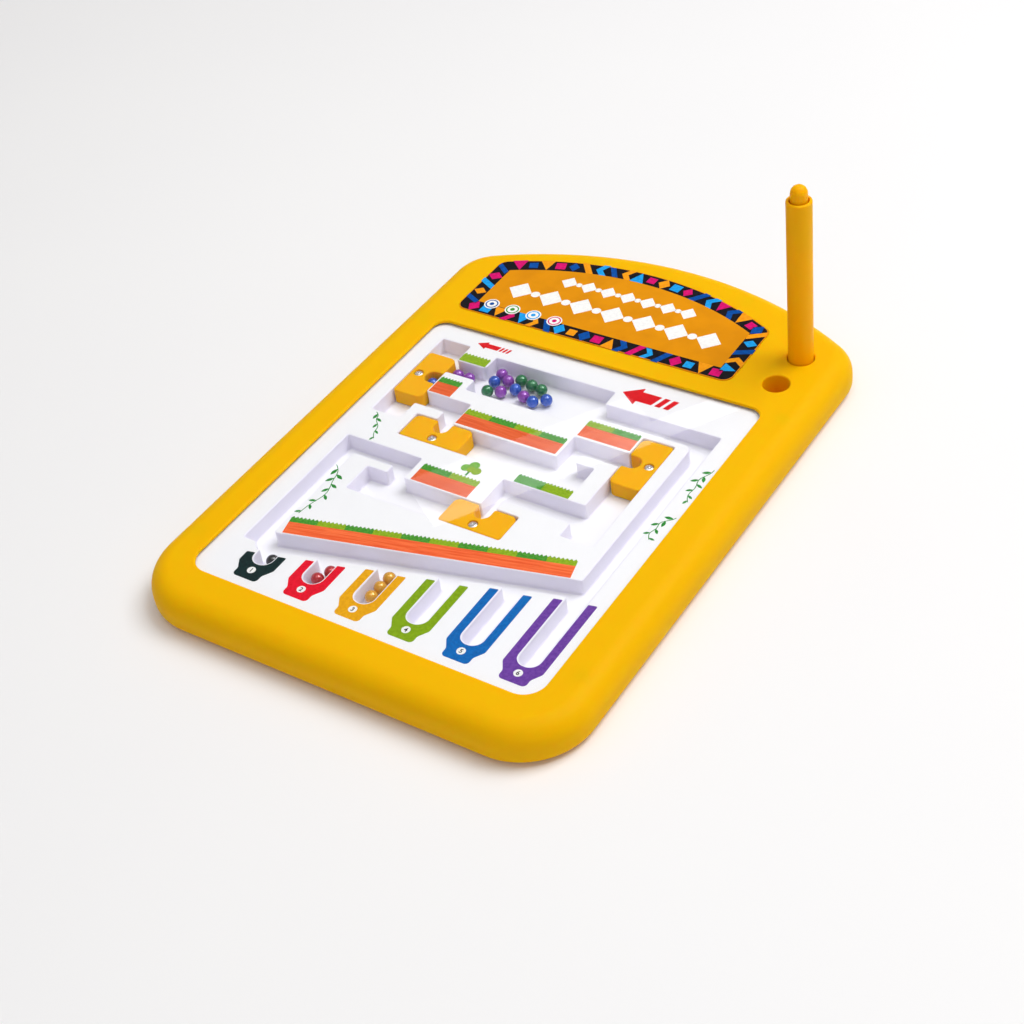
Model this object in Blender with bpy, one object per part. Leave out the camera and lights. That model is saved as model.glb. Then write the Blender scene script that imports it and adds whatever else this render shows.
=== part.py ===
"""Magnetic maze board: a shallow yellow frame that holds a moulded maze under a clear window.

Steel balls run in the maze's channels, four shuttle gates slide in their pockets, and a
magnet pen stands in one of two sockets beside the header label. Lengths are in metres, +Z is
up, +Y points to the header, and the origin is under the middle of the board.
"""

import math

import bmesh
import bpy

# Clearances
GAP = 0.0003
OVERRUN = 0.002

# Shell of the frame
ARCH_RISE = 0.040
NEAR_CORNER = 0.038
SHOULDER_ROUND = 0.028
TOP_ROUND = 0.012
BASE_ROUND = 0.006
SHELL = 0.0016
FOOT = 0.002

# Opening of the frame, over the maze: a margin is the white panel beside the channels
NEAR_RAIL = 0.0264
OPENING_NEAR_MARGIN = 0.0036
OPENING_FAR_MARGIN = 0.0159
OPENING_RIGHT_MARGIN = 0.01195
OPENING_NEAR_ROUND = 0.012
OPENING_FAR_ROUND = 0.008

# Window and tray
WINDOW_THICKNESS = 0.0008
LIP_OVERLAP = 0.0035
FLOOR_THICKNESS = 0.0016
UNDER_ROOM = 0.0058

# Balls
BALL = 0.007
BALL_REST = 0.0003
BALL_HEADROOM = 0.0023

# Gates
GATE_LENGTH = 0.0384
GATE_BACK_ROUND = 0.0018
GATE_FRONT_ROUND = 0.004
NOTCH_PLAY = 0.0012
NOTCH_MARGIN = 0.0018
NOTCH_SETBACK = 0.0052
NOTCH_MOUTH_ROUND = 0.0008
NOTCH_ROUND_SHARE = 0.96
GATE_SCREW_SETBACK = 0.0048
GATE_SCREW_HEAD = 0.005
GATE_SCREW_HEAD_HEIGHT = 0.0012
GATE_SCREW_SHANK = 0.0024
GATE_SCREW_FLOOR = 0.0009

# Channels and passages of the maze
LOOP_WIDTH = 0.0125
LOOP_NEAR_LENGTH = 0.008
LOOP_ARM_WIDTH = 0.0115
RAMP_RISE = 0.0403
RAMP_WIDTH_LEFT = 0.0139
RAMP_WIDTH_RIGHT = 0.0122
PASSAGE_3_WIDTH = 0.012
PASSAGE_4_WIDTH = 0.011
PASSAGE_5_WIDTH = 0.0095
CORRIDOR_1_WIDTH = 0.0116
CORRIDOR_2_WIDTH = 0.0114
CORRIDOR_4_WIDTH = 0.0144
SLOT_2_WIDTH = 0.0105
RETURN_WIDTH = 0.0124
RETURN_ARM_WIDTH = 0.0105
START_DEPTH_SHARE = 4.6
WALL_CORNER = 0.0015
PENINSULA_CORNER = 0.003
BLOCK_CORNER = 0.005

# Steps across the maze plan, from the opening's left edge and from channel to channel
LOOP_STEP = 0.012
POCKET_1_STEP = 0.0055
POCKET_2_STEP = 0.0068
POCKET_3_STEP = 0.0108
POCKET_4_STEP = 0.0137
START_STEP = 0.0003
START_OVERLAP = 0.001
PASSAGE_3_STEP = 0.067
PASSAGE_5_STEP = 0.0495
RETURN_STEP = 0.00815
SLOT_FIRST_STEP = 0.00195

# Steps up the maze plan, from the plan's zero and from channel to channel
SLOT_START = 0.0154
RAMP_STEP = 0.00305
LOOP_NEAR_STEP = 0.0046
POCKET_4_RISE = 0.0195
LOOP_ARM_RISE = 0.0061
CORRIDOR_4_RISE = 0.0076
POCKET_2_RISE = 0.008
CORRIDOR_2_RISE = 0.0073
START_RISE = 0.0104
CORRIDOR_1_RISE = 0.0094
RETURN_RISE = 0.0042

# Where the gates stop, from the middles of the passages that they close
GATE_1_NEAR_SHIFT = -0.0006
GATE_1_FAR_SHIFT = 0.0005
GATE_1_REST = 0.0025
GATE_2_LEFT_SHIFT = 0.00105
GATE_2_RIGHT_SHIFT = -0.0018
GATE_3_NEAR_SHIFT = 0.0018
GATE_3_FAR_SHIFT = 0.0008
GATE_4_LEFT_SHIFT = 0.0012
GATE_4_RIGHT_SHIFT = -0.00015

# Ball slots along the near edge
SLOT_COUNT = 6
SLOT_PLAY = 0.0045
SLOT_ROUND_SHARE = 0.96

# Places of the balls, in ball diameters: in the pile from the start area's near left
# corner, in a slot from the middle of its round end
PILE_SHARES = (
    ("purple_1", 1.01, 3.73),
    ("purple_2", 1.96, 3.20),
    ("purple_3", 2.14, 1.77),
    ("purple_4", 4.20, 2.00),
    ("blue_1", 0.96, 2.67),
    ("blue_2", 3.09, 2.51),
    ("blue_3", 5.20, 1.72),
    ("blue_4", 6.13, 2.36),
    ("green_1", 2.90, 3.70),
    ("green_2", 4.04, 3.49),
    ("green_3", 5.07, 3.31),
    ("green_4", 1.09, 1.40),
)
CORRIDOR_BALL_SHARES = (("purple_5", 0.0), ("purple_6", 1.08))
SLOT_BALL_SHARES = (
    ("black_1", 0, 0.14, 0.50),
    ("red_1", 1, -0.23, 0.42),
    ("red_2", 1, 0.23, 1.42),
    ("gold_1", 2, -0.14, 0.65),
    ("gold_2", 2, -0.12, 1.72),
    ("gold_3", 2, -0.06, 2.79),
)
NOTCH_BALL = "blue_5"

# Header label
LABEL_LEFT = 0.002
LABEL_STEP = 0.0139
LABEL_SIDE = 0.0507
LABEL_RISE = 0.0228
LABEL_MARGIN = 0.0024
LABEL_NEAR_ROUND = 0.006
LABEL_FAR_ROUND = 0.007
LABEL_THICKNESS = 0.0004
LABEL_RECESS = 0.0005
LABEL_PLAY = 0.0004

# Pen and its sockets
PEN_DIAMETER = 0.014
PEN_RISE = 0.104
PEN_CHAMFER = 0.0012
PEN_FOOT_CHAMFER = 0.0008
PEN_WALL = 0.002
NUB_RISE = 0.009
NUB_STEM = 0.0154
MAGNET_LENGTH = 0.010
SOCKET_PLAY = 0.0005
SOCKET_WALL = 0.0018
SOCKET_BASE = 0.0015
PEN_INSET = 0.003
PEN_LABEL_STEP = 0.026
SPARE_SHIFT = 0.002
SPARE_STEP = 0.0235
SOCKET_PITCH = 0.0265

# Back cover and its screws
COVER_THICKNESS = 0.002
COVER_PLAY = 0.0004
RIB_THICKNESS = 0.0016
RIB_COUNT_LONG = 4
RIB_COUNT_CROSS = 3
RIB_MARGIN = 0.010
CUP_PLAY = 0.0004
CUP_WALL = 0.0014
CUP_HEIGHT = 0.006
CUP_FLOOR = 0.003
CUP_MARGIN = 0.0027
BOSS_WALL = 0.0021
SCREW_HEAD = 0.006
SCREW_HEAD_HEIGHT = 0.0018
SCREW_SHANK = 0.0028
SCREW_LENGTH = 0.0125
SCREW_TIP_PLAY = 0.0008
SCREW_NEAR_Y = 0.020
SCREW_MIDDLE_INSET = 0.002
SCREW_FAR_INSET = 0.021
SCREW_FAR_SPREAD = 0.051

# Cross recess of a screw head
CROSS_SPAN_SHARE = 0.58
CROSS_WIDTH_SHARE = 0.16
CROSS_DEPTH_SHARE = 0.5

# Counts of straight steps that stand for curves
CORNER_STEPS = 5
ARCH_STEPS = 18
LABEL_ARCH_STEPS = 14
EDGE_STEPS = 4
ROUND_SIDES = 24
SCREW_SIDES = 12
BALL_SIDES = 12
BALL_RINGS = 8
DOME_STEPS = 4
SHARP_ANGLE = math.radians(35)

# Sizes of the pieces that fit one another
NOTCH_WIDTH = BALL + 2 * NOTCH_PLAY
NOTCH_DEPTH = BALL + NOTCH_MARGIN
GATE_DEPTH = NOTCH_DEPTH + NOTCH_SETBACK + GATE_SCREW_SETBACK
CHANNEL_DEPTH = BALL + BALL_REST + BALL_HEADROOM
GATE_HEIGHT = CHANNEL_DEPTH - 2 * GAP
GATE_SCREW_SEAT = GATE_HEIGHT - GATE_SCREW_HEAD_HEIGHT - 2 * GAP
GATE_SCREW_LENGTH = GATE_SCREW_SEAT - GATE_SCREW_FLOOR - GAP
SLOT_WIDTH = BALL + SLOT_PLAY
SOCKET_BORE = PEN_DIAMETER + 2 * SOCKET_PLAY
PEN_BORE = PEN_DIAMETER - 2 * PEN_WALL
PEN_BORE_DEPTH = NUB_STEM + MAGNET_LENGTH + 2 * GAP
SCREW_HOLE = SCREW_SHANK + 2 * GAP
CUP_BORE = SCREW_HEAD + 2 * CUP_PLAY
CUP_DIAMETER = CUP_BORE + 2 * CUP_WALL
BOSS_DIAMETER = SCREW_HOLE + 2 * BOSS_WALL
BOSS_FOOT = CUP_HEIGHT + GAP
BOSS_HOLE_TOP = CUP_FLOOR - GAP + SCREW_LENGTH + SCREW_TIP_PLAY

# Heights, from the table up to the top of the frame
FLOOR_UNDER = COVER_THICKNESS + UNDER_ROOM
FLOOR_TOP = FLOOR_UNDER + FLOOR_THICKNESS
WALL_BASE = FLOOR_TOP + GAP
PANEL_TOP = FLOOR_TOP + CHANNEL_DEPTH
SKIN_UNDER = PANEL_TOP + GAP + WINDOW_THICKNESS + GAP
FRAME_HEIGHT = SKIN_UNDER + SHELL

# Plan of the maze, from the left to the right
POCKET_WIDTH = GATE_DEPTH + 2 * GAP
HALF_GATE = GATE_LENGTH / 2 + GAP
LOOP_LEFT = LOOP_STEP
LOOP_RIGHT = LOOP_LEFT + LOOP_WIDTH
POCKET_1_RIGHT = LOOP_RIGHT + POCKET_1_STEP
POCKET_1_LEFT = POCKET_1_RIGHT - POCKET_WIDTH
POCKET_2_LEFT = POCKET_1_RIGHT + POCKET_2_STEP
GATE_2_LEFT_STOP = POCKET_2_LEFT + HALF_GATE
SLOT_2_LEFT = GATE_2_LEFT_STOP - GATE_2_LEFT_SHIFT - SLOT_2_WIDTH / 2
SLOT_2_RIGHT = SLOT_2_LEFT + SLOT_2_WIDTH
START_LEFT = SLOT_2_LEFT - START_STEP
PASSAGE_3_LEFT = SLOT_2_RIGHT + PASSAGE_3_STEP
PASSAGE_3_RIGHT = PASSAGE_3_LEFT + PASSAGE_3_WIDTH
START_RIGHT = PASSAGE_3_LEFT + START_OVERLAP
POCKET_2_RIGHT = PASSAGE_3_LEFT + PASSAGE_3_WIDTH / 2 + GATE_2_RIGHT_SHIFT + HALF_GATE
POCKET_3_LEFT = POCKET_2_RIGHT + POCKET_3_STEP
POCKET_3_RIGHT = POCKET_3_LEFT + POCKET_WIDTH
RETURN_LEFT = POCKET_3_RIGHT + RETURN_STEP
RETURN_RIGHT = RETURN_LEFT + RETURN_ARM_WIDTH
POCKET_4_LEFT = LOOP_RIGHT + POCKET_4_STEP
PASSAGE_4_LEFT = POCKET_4_LEFT + HALF_GATE - GATE_4_LEFT_SHIFT - PASSAGE_4_WIDTH / 2
PASSAGE_4_RIGHT = PASSAGE_4_LEFT + PASSAGE_4_WIDTH
PASSAGE_5_LEFT = PASSAGE_4_RIGHT + PASSAGE_5_STEP
PASSAGE_5_RIGHT = PASSAGE_5_LEFT + PASSAGE_5_WIDTH
GATE_4_RIGHT_STOP = PASSAGE_5_LEFT + PASSAGE_5_WIDTH / 2 + GATE_4_RIGHT_SHIFT
POCKET_4_RIGHT = GATE_4_RIGHT_STOP + HALF_GATE
SLOT_FIRST = LOOP_RIGHT + SLOT_FIRST_STEP + SLOT_WIDTH / 2
SLOT_LAST = RETURN_RIGHT - SLOT_WIDTH / 2
SLOT_PITCH = (SLOT_LAST - SLOT_FIRST) / (SLOT_COUNT - 1)

# Plan of the maze, from the near side to the far one
SLOT_SHOULDER = SLOT_START + SLOT_WIDTH / 2
RAMP_LEFT = SLOT_SHOULDER + RAMP_STEP
RAMP_RIGHT = RAMP_LEFT + RAMP_RISE
LOOP_NEAR = RAMP_LEFT + LOOP_NEAR_STEP
POCKET_4_NEAR = RAMP_RIGHT + POCKET_4_RISE
POCKET_4_FAR = POCKET_4_NEAR + POCKET_WIDTH
LOOP_ARM_NEAR = POCKET_4_FAR + LOOP_ARM_RISE
LOOP_ARM_FAR = LOOP_ARM_NEAR + LOOP_ARM_WIDTH
CORRIDOR_4_NEAR = POCKET_4_FAR + CORRIDOR_4_RISE
CORRIDOR_4_FAR = CORRIDOR_4_NEAR + CORRIDOR_4_WIDTH
POCKET_2_NEAR = CORRIDOR_4_FAR + POCKET_2_RISE
POCKET_2_FAR = POCKET_2_NEAR + POCKET_WIDTH
CORRIDOR_2_NEAR = POCKET_2_FAR + CORRIDOR_2_RISE
CORRIDOR_2_MIDDLE = CORRIDOR_2_NEAR + CORRIDOR_2_WIDTH / 2
CORRIDOR_2_FAR = CORRIDOR_2_NEAR + CORRIDOR_2_WIDTH
START_NEAR = CORRIDOR_2_FAR + START_RISE
START_FAR = START_NEAR + BALL * START_DEPTH_SHARE
CORRIDOR_1_NEAR = START_NEAR + CORRIDOR_1_RISE
CORRIDOR_1_MIDDLE = CORRIDOR_1_NEAR + CORRIDOR_1_WIDTH / 2
CORRIDOR_1_FAR = CORRIDOR_1_NEAR + CORRIDOR_1_WIDTH
POCKET_1_NEAR = CORRIDOR_2_MIDDLE + GATE_1_NEAR_SHIFT - HALF_GATE
POCKET_1_FAR = CORRIDOR_1_MIDDLE + GATE_1_FAR_SHIFT + HALF_GATE
POCKET_3_NEAR = CORRIDOR_4_NEAR + CORRIDOR_4_WIDTH / 2 + GATE_3_NEAR_SHIFT - HALF_GATE
POCKET_3_FAR = CORRIDOR_2_MIDDLE + GATE_3_FAR_SHIFT + HALF_GATE
RETURN_NEAR = POCKET_3_FAR + RETURN_RISE
RETURN_FAR = RETURN_NEAR + RETURN_WIDTH

# Middles of the gates where they rest
GATE_1_X, GATE_1_Y = POCKET_1_LEFT + POCKET_WIDTH / 2, START_NEAR + GATE_1_REST
GATE_2_X, GATE_2_Y = GATE_2_LEFT_STOP, POCKET_2_NEAR + POCKET_WIDTH / 2
GATE_3_X, GATE_3_Y = POCKET_3_LEFT + POCKET_WIDTH / 2, POCKET_3_FAR - HALF_GATE
GATE_4_X, GATE_4_Y = GATE_4_RIGHT_STOP, POCKET_4_NEAR + POCKET_WIDTH / 2

# Opening, tray and outline of the frame
OPENING_WIDTH = RETURN_RIGHT + OPENING_RIGHT_MARGIN
OPENING_FAR = START_FAR + OPENING_FAR_MARGIN
TRAY_LEFT = -LIP_OVERLAP
TRAY_RIGHT = OPENING_WIDTH + LIP_OVERLAP
TRAY_NEAR = -OPENING_NEAR_MARGIN - LIP_OVERLAP
TRAY_FAR = OPENING_FAR + LIP_OVERLAP
COVER_INSET = BASE_ROUND + FOOT + COVER_PLAY
SIDE_RAIL = COVER_INSET + GAP + CUP_DIAMETER + CUP_MARGIN + LIP_OVERLAP
FRAME_WIDTH = OPENING_WIDTH + 2 * SIDE_RAIL
LABEL_NEAR = OPENING_FAR + LABEL_STEP
HEADER_START = NEAR_RAIL + OPENING_NEAR_MARGIN + LABEL_NEAR
FRAME_LENGTH = HEADER_START + LABEL_SIDE + LABEL_MARGIN + ARCH_RISE

# Places of the label's edge, of the pen and of the spare socket
PEN_X = OPENING_WIDTH - PEN_INSET
SPARE_X = PEN_X - SPARE_SHIFT
SPARE_Y = OPENING_FAR + SPARE_STEP
PEN_Y = SPARE_Y + SOCKET_PITCH
LABEL_RIGHT = PEN_X - PEN_LABEL_STEP

# Where the plan's zero lies in the part's own frame
PLAN_X = -OPENING_WIDTH / 2
PLAN_Y = NEAR_RAIL + OPENING_NEAR_MARGIN - FRAME_LENGTH / 2


def srgb(red, green, blue):
    """The linear colour of an sRGB one whose channels run from 0 to 255."""
    shares = [channel / 255 for channel in (red, green, blue)]
    return tuple(((s + 0.055) / 1.055) ** 2.4 if s > 0.04 else s / 12.92 for s in shares)


def material(name, colour, roughness, metallic=0.0, alpha=1.0):
    """A plain Principled material."""
    made = bpy.data.materials.new(name)
    made.use_nodes = True
    shader = made.node_tree.nodes["Principled BSDF"]
    shader.inputs["Base Color"].default_value = (*srgb(*colour), 1.0)
    shader.inputs["Roughness"].default_value = roughness
    shader.inputs["Metallic"].default_value = metallic
    shader.inputs["Alpha"].default_value = alpha
    made.diffuse_color = (*srgb(*colour), alpha)
    return made


def plan(x, y):
    """A point of the maze plan in the part's own frame."""
    return x + PLAN_X, y + PLAN_Y


def arc(centre, radius, start, end, steps):
    """Points along an arc, both ends included."""
    turns = [start + (end - start) * i / steps for i in range(steps + 1)]
    return [(centre[0] + radius * math.cos(t), centre[1] + radius * math.sin(t)) for t in turns]


def rounded(corners, steps=CORNER_STEPS):
    """An outline through corners (x, y, radius), with an arc at each corner that has a radius."""
    points = []
    for i, (x, y, radius) in enumerate(corners):
        before, after = corners[i - 1], corners[(i + 1) % len(corners)]
        back = math.atan2(before[1] - y, before[0] - x)
        ahead = math.atan2(after[1] - y, after[0] - x)
        inner = abs(math.remainder(ahead - back, math.tau))
        if radius == 0:
            points.append((x, y))
            continue
        middle = back + math.remainder(ahead - back, math.tau) / 2
        reach = radius / math.sin(inner / 2)
        centre = (x + reach * math.cos(middle), y + reach * math.sin(middle))
        sweep = math.copysign(math.pi - inner, -math.remainder(ahead - back, math.tau))
        facing = middle + math.pi
        count = max(1, round(steps * abs(sweep) / (math.pi / 2)))
        points += arc(centre, radius, facing - sweep / 2, facing + sweep / 2, count)
    return points


def frame_outline(inset):
    """The frame's outline drawn in by inset, from its near right corner round to the near left."""
    half = FRAME_WIDTH / 2
    near = -FRAME_LENGTH / 2
    peak = -near
    arch = (half**2 + ARCH_RISE**2) / (2 * ARCH_RISE)
    arch_y = peak - arch
    shoulder_x = half - SHOULDER_ROUND
    shoulder_y = arch_y + math.sqrt((arch - SHOULDER_ROUND) ** 2 - shoulder_x**2)
    turn = math.atan2(shoulder_y - arch_y, shoulder_x)
    corner_x, corner_y = half - NEAR_CORNER, near + NEAR_CORNER
    corner, shoulder = NEAR_CORNER - inset, SHOULDER_ROUND - inset
    right_angle = math.pi / 2
    steps = CORNER_STEPS * 2
    points = arc((corner_x, corner_y), corner, -right_angle, 0, steps)
    points += arc((shoulder_x, shoulder_y), shoulder, 0, turn, CORNER_STEPS)
    points += arc((0, arch_y), arch - inset, turn, math.pi - turn, ARCH_STEPS)[1:-1]
    points += arc((-shoulder_x, shoulder_y), shoulder, math.pi - turn, math.pi, CORNER_STEPS)
    points += arc((-corner_x, corner_y), corner, math.pi, math.pi + right_angle, steps)
    return points


def new_object(name, mesh, finish, location=(0, 0, 0), turn=0.0, smooth=False):
    """An object with its mesh, material and place."""
    thing = bpy.data.objects.new(name, mesh)
    bpy.context.scene.collection.objects.link(thing)
    thing.location = location
    thing.rotation_euler = (0, 0, turn)
    if finish:
        mesh.materials.append(finish)
    if smooth:
        mesh.shade_smooth()
        mesh.set_sharp_from_angle(angle=SHARP_ANGLE)
    return thing


def stacked(rings):
    """A closed mesh through rings of equally many points (x, y, z), capped at both ends."""
    build = bmesh.new()
    loops = [[build.verts.new(point) for point in ring] for ring in rings]
    count = len(loops[0])
    for low, high in zip(loops, loops[1:]):
        for i in range(count):
            j = (i + 1) % count
            build.faces.new((low[i], low[j], high[j], high[i]))
    build.faces.new(loops[0][::-1])
    build.faces.new(loops[-1])
    return finished(build)


def finished(build):
    """The mesh of a bmesh, with its faces turned outwards."""
    bmesh.ops.recalc_face_normals(build, faces=build.faces)
    mesh = bpy.data.meshes.new("shape")
    build.to_mesh(mesh)
    build.free()
    return mesh


def prism(outline, low, high):
    """A straight prism over an outline between two heights."""
    return stacked([[(x, y, z) for x, y in outline] for z in (low, high)])


def turned(profile, sides):
    """A solid of revolution about Z through (radius, height) pairs, flat at both ends."""
    turns = [math.tau * i / sides for i in range(sides)]
    return stacked([[(r * math.cos(t), r * math.sin(t), z) for t in turns] for r, z in profile])


def rod(diameter, low, high, sides=ROUND_SIDES):
    """A round rod about Z."""
    return turned([(diameter / 2, low), (diameter / 2, high)], sides)


def rectangle(left, near, right, far, radius=0.0):
    """The corners of a rectangle, each with the same radius."""
    return [(left, near, radius), (right, near, radius), (right, far, radius), (left, far, radius)]


def shaped(target, operation, mesh, location=(0, 0, 0)):
    """Joins or cuts the target with a hidden helper."""
    helper = new_object(f"helper_{target.name}_{len(target.modifiers)}", mesh, None, location)
    helper.hide_render = True
    helper.display_type = "WIRE"
    helper.parent = target
    helper.matrix_parent_inverse = target.matrix_basis.inverted()
    step = target.modifiers.new(operation.lower(), "BOOLEAN")
    step.operation = operation
    step.solver = "EXACT"
    step.object = helper


def screw_places():
    """Where the six back screws stand, in the part's frame."""
    side = FRAME_WIDTH / 2 - COVER_INSET - GAP - CUP_DIAMETER / 2
    middle = OPENING_FAR - SCREW_MIDDLE_INSET + PLAN_Y
    places = []
    for sign in (-1, 1):
        places += [(sign * side, SCREW_NEAR_Y + PLAN_Y), (sign * side, middle)]
        places.append((sign * SCREW_FAR_SPREAD, FRAME_LENGTH / 2 - SCREW_FAR_INSET))
    return places


def label_outline(play):
    """The header label's outline, widened by play on every side."""
    left, right = LABEL_LEFT - play, LABEL_RIGHT + play
    near, side = LABEL_NEAR - play, LABEL_NEAR + LABEL_SIDE + play
    half = (right - left) / 2
    radius = (half**2 + LABEL_RISE**2) / (2 * LABEL_RISE)
    centre = ((left + right) / 2, side + LABEL_RISE - radius)
    reach = math.asin(half / radius)
    arch = arc(centre, radius, math.pi / 2 - reach, math.pi / 2 + reach, LABEL_ARCH_STEPS)
    corners = [(left, near, LABEL_NEAR_ROUND + play), (right, near, LABEL_NEAR_ROUND + play)]
    corners.append((*arch[0], LABEL_FAR_ROUND + play))
    corners += [(x, y, 0) for x, y in arch[1:-1]]
    corners.append((*arch[-1], LABEL_FAR_ROUND + play))
    return [plan(x, y) for x, y in rounded(corners)]


def top_frame(finish):
    """The frame: a rounded shell, open below, with the opening, label bed, sockets and bosses."""
    inner_top, inner_base = TOP_ROUND - SHELL, BASE_ROUND - SHELL
    quarter = math.pi / 2
    high, low = FRAME_HEIGHT - TOP_ROUND, BASE_ROUND
    inside = arc((TOP_ROUND, high), inner_top, quarter, 2 * quarter, EDGE_STEPS)
    inside += arc((BASE_ROUND, low), inner_base, 2 * quarter, 3 * quarter, EDGE_STEPS)
    foot = BASE_ROUND + FOOT
    ledge = [(foot, low - inner_base), (foot, 0.0)]
    outside = arc((BASE_ROUND, low), BASE_ROUND, 3 * quarter, 2 * quarter, EDGE_STEPS)
    outside += arc((TOP_ROUND, high), TOP_ROUND, 2 * quarter, quarter, EDGE_STEPS)
    profile = inside + ledge + outside
    rings = [[(x, y, z) for x, y in frame_outline(inset)] for inset, z in profile]
    frame = new_object("top_frame", stacked(rings), finish, smooth=True)
    for x, y in screw_places():
        boss = rod(BOSS_DIAMETER, BOSS_FOOT, FRAME_HEIGHT - SHELL / 2, SCREW_SIDES)
        shaped(frame, "UNION", boss, (x, y, 0))
    socket_foot = COVER_THICKNESS + GAP
    for place in ((PEN_X, PEN_Y), (SPARE_X, SPARE_Y)):
        outer = rod(SOCKET_BORE + 2 * SOCKET_WALL, socket_foot, FRAME_HEIGHT - SHELL / 2)
        shaped(frame, "UNION", outer, (*plan(*place), 0))
    for place in ((PEN_X, PEN_Y), (SPARE_X, SPARE_Y)):
        bore = rod(SOCKET_BORE, socket_foot + SOCKET_BASE, FRAME_HEIGHT + OVERRUN)
        shaped(frame, "DIFFERENCE", bore, (*plan(*place), 0))
    for x, y in screw_places():
        pilot = rod(SCREW_HOLE, BOSS_FOOT - OVERRUN, BOSS_HOLE_TOP, SCREW_SIDES)
        shaped(frame, "DIFFERENCE", pilot, (x, y, 0))
    left, right = 0.0, OPENING_WIDTH
    near, far = -OPENING_NEAR_MARGIN, OPENING_FAR
    corners = [(left, near, OPENING_NEAR_ROUND), (right, near, OPENING_NEAR_ROUND)]
    corners += [(right, far, OPENING_FAR_ROUND), (left, far, OPENING_FAR_ROUND)]
    opening = [plan(x, y) for x, y in rounded(corners)]
    shaped(frame, "DIFFERENCE", prism(opening, SKIN_UNDER - OVERRUN, FRAME_HEIGHT + OVERRUN))
    bed = prism(label_outline(LABEL_PLAY), FRAME_HEIGHT - LABEL_RECESS, FRAME_HEIGHT + OVERRUN)
    shaped(frame, "DIFFERENCE", bed)


def header_label(finish):
    """The printed card in its bed on the frame."""
    low = FRAME_HEIGHT - LABEL_RECESS + GAP
    new_object("header_label", prism(label_outline(0), low, low + LABEL_THICKNESS), finish)


def clear_window(finish):
    """The clear sheet between the frame's lip and the maze."""
    corners = rectangle(TRAY_LEFT, TRAY_NEAR, TRAY_RIGHT, TRAY_FAR, OPENING_FAR_ROUND)
    outline = [plan(x, y) for x, y in rounded(corners)]
    low = PANEL_TOP + GAP
    new_object("clear_window", prism(outline, low, low + WINDOW_THICKNESS), finish)


def back_cover(finish):
    """The flat cover under the board, with ribs that carry the tray and cups for the screws."""
    outline = frame_outline(COVER_INSET)
    cover = new_object("back_cover", prism(outline, 0.0, COVER_THICKNESS), finish)
    low, high = COVER_THICKNESS / 2, FLOOR_UNDER - GAP
    left, right = TRAY_LEFT + RIB_MARGIN, TRAY_RIGHT - RIB_MARGIN
    near, far = TRAY_NEAR + RIB_MARGIN, TRAY_FAR - RIB_MARGIN
    half = RIB_THICKNESS / 2
    for i in range(RIB_COUNT_LONG):
        x = left + (right - left) * i / (RIB_COUNT_LONG - 1)
        strip = rounded(rectangle(x - half, near - half, x + half, far + half))
        shaped(cover, "UNION", prism([plan(*p) for p in strip], low, high))
    for i in range(RIB_COUNT_CROSS):
        y = near + (far - near) * i / (RIB_COUNT_CROSS - 1)
        strip = rounded(rectangle(left - RIB_THICKNESS, y - half, right + RIB_THICKNESS, y + half))
        shaped(cover, "UNION", prism([plan(*p) for p in strip], low, high - GAP))
    for x, y in screw_places():
        shaped(cover, "UNION", rod(CUP_DIAMETER, low, CUP_HEIGHT, SCREW_SIDES), (x, y, 0))
    for x, y in screw_places():
        shaped(cover, "DIFFERENCE", rod(CUP_BORE, -OVERRUN, CUP_FLOOR, SCREW_SIDES), (x, y, 0))
        hole = rod(SCREW_HOLE, -OVERRUN, CUP_HEIGHT + OVERRUN, SCREW_SIDES)
        shaped(cover, "DIFFERENCE", hole, (x, y, 0))


def cross_outline(head):
    """The cross in a screw's head, as an outline of twelve corners."""
    span, width = head * CROSS_SPAN_SHARE / 2, head * CROSS_WIDTH_SHARE / 2
    points = []
    for i in range(4):
        along, across = math.cos(i * math.pi / 2), math.sin(i * math.pi / 2)
        for x, y in ((width, -width), (span, -width), (span, width)):
            points.append((x * along - y * across, x * across + y * along))
    return points


def screw(name, finish, place, head, head_height, shank, length, upright):
    """A screw whose head's outer face is at the place, with its shank below, or above if not upright."""
    sign = -1 if upright else 1
    profile = [(head / 2, 0.0), (head / 2, sign * head_height)]
    profile += [(shank / 2, sign * head_height), (shank / 2, sign * (head_height + length))]
    made = new_object(name, turned(profile, SCREW_SIDES), finish, place, smooth=True)
    low, high = sorted((sign * head_height * CROSS_DEPTH_SHARE, -sign * OVERRUN))
    shaped(made, "DIFFERENCE", prism(cross_outline(head), low, high), place)


def back_screws(finish):
    """Six screws in the cover's cups."""
    height = CUP_FLOOR - GAP - SCREW_HEAD_HEIGHT
    for i, (x, y) in enumerate(screw_places()):
        sizes = (SCREW_HEAD, SCREW_HEAD_HEIGHT, SCREW_SHANK, SCREW_LENGTH)
        screw(f"back_screw_{i + 1}", finish, (x, y, height), *sizes, upright=False)


def wall(name, corners, finish):
    """One stretch of the maze's white walls, from its plan outline."""
    outline = [plan(x, y) for x, y in rounded(corners)]
    new_object(name, prism(outline, WALL_BASE, PANEL_TOP), finish)


def ramp_near(x):
    """The near side of the slanting channel, at the tops of the teeth between the slots."""
    return RAMP_LEFT + (RAMP_RIGHT - RAMP_LEFT) * (x - LOOP_RIGHT) / (RETURN_LEFT - LOOP_RIGHT)


def ramp_far(x):
    """The far side of the slanting channel."""
    share = (x - LOOP_RIGHT) / (RETURN_LEFT - LOOP_RIGHT)
    return ramp_near(x) + RAMP_WIDTH_LEFT + (RAMP_WIDTH_RIGHT - RAMP_WIDTH_LEFT) * share


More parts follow.
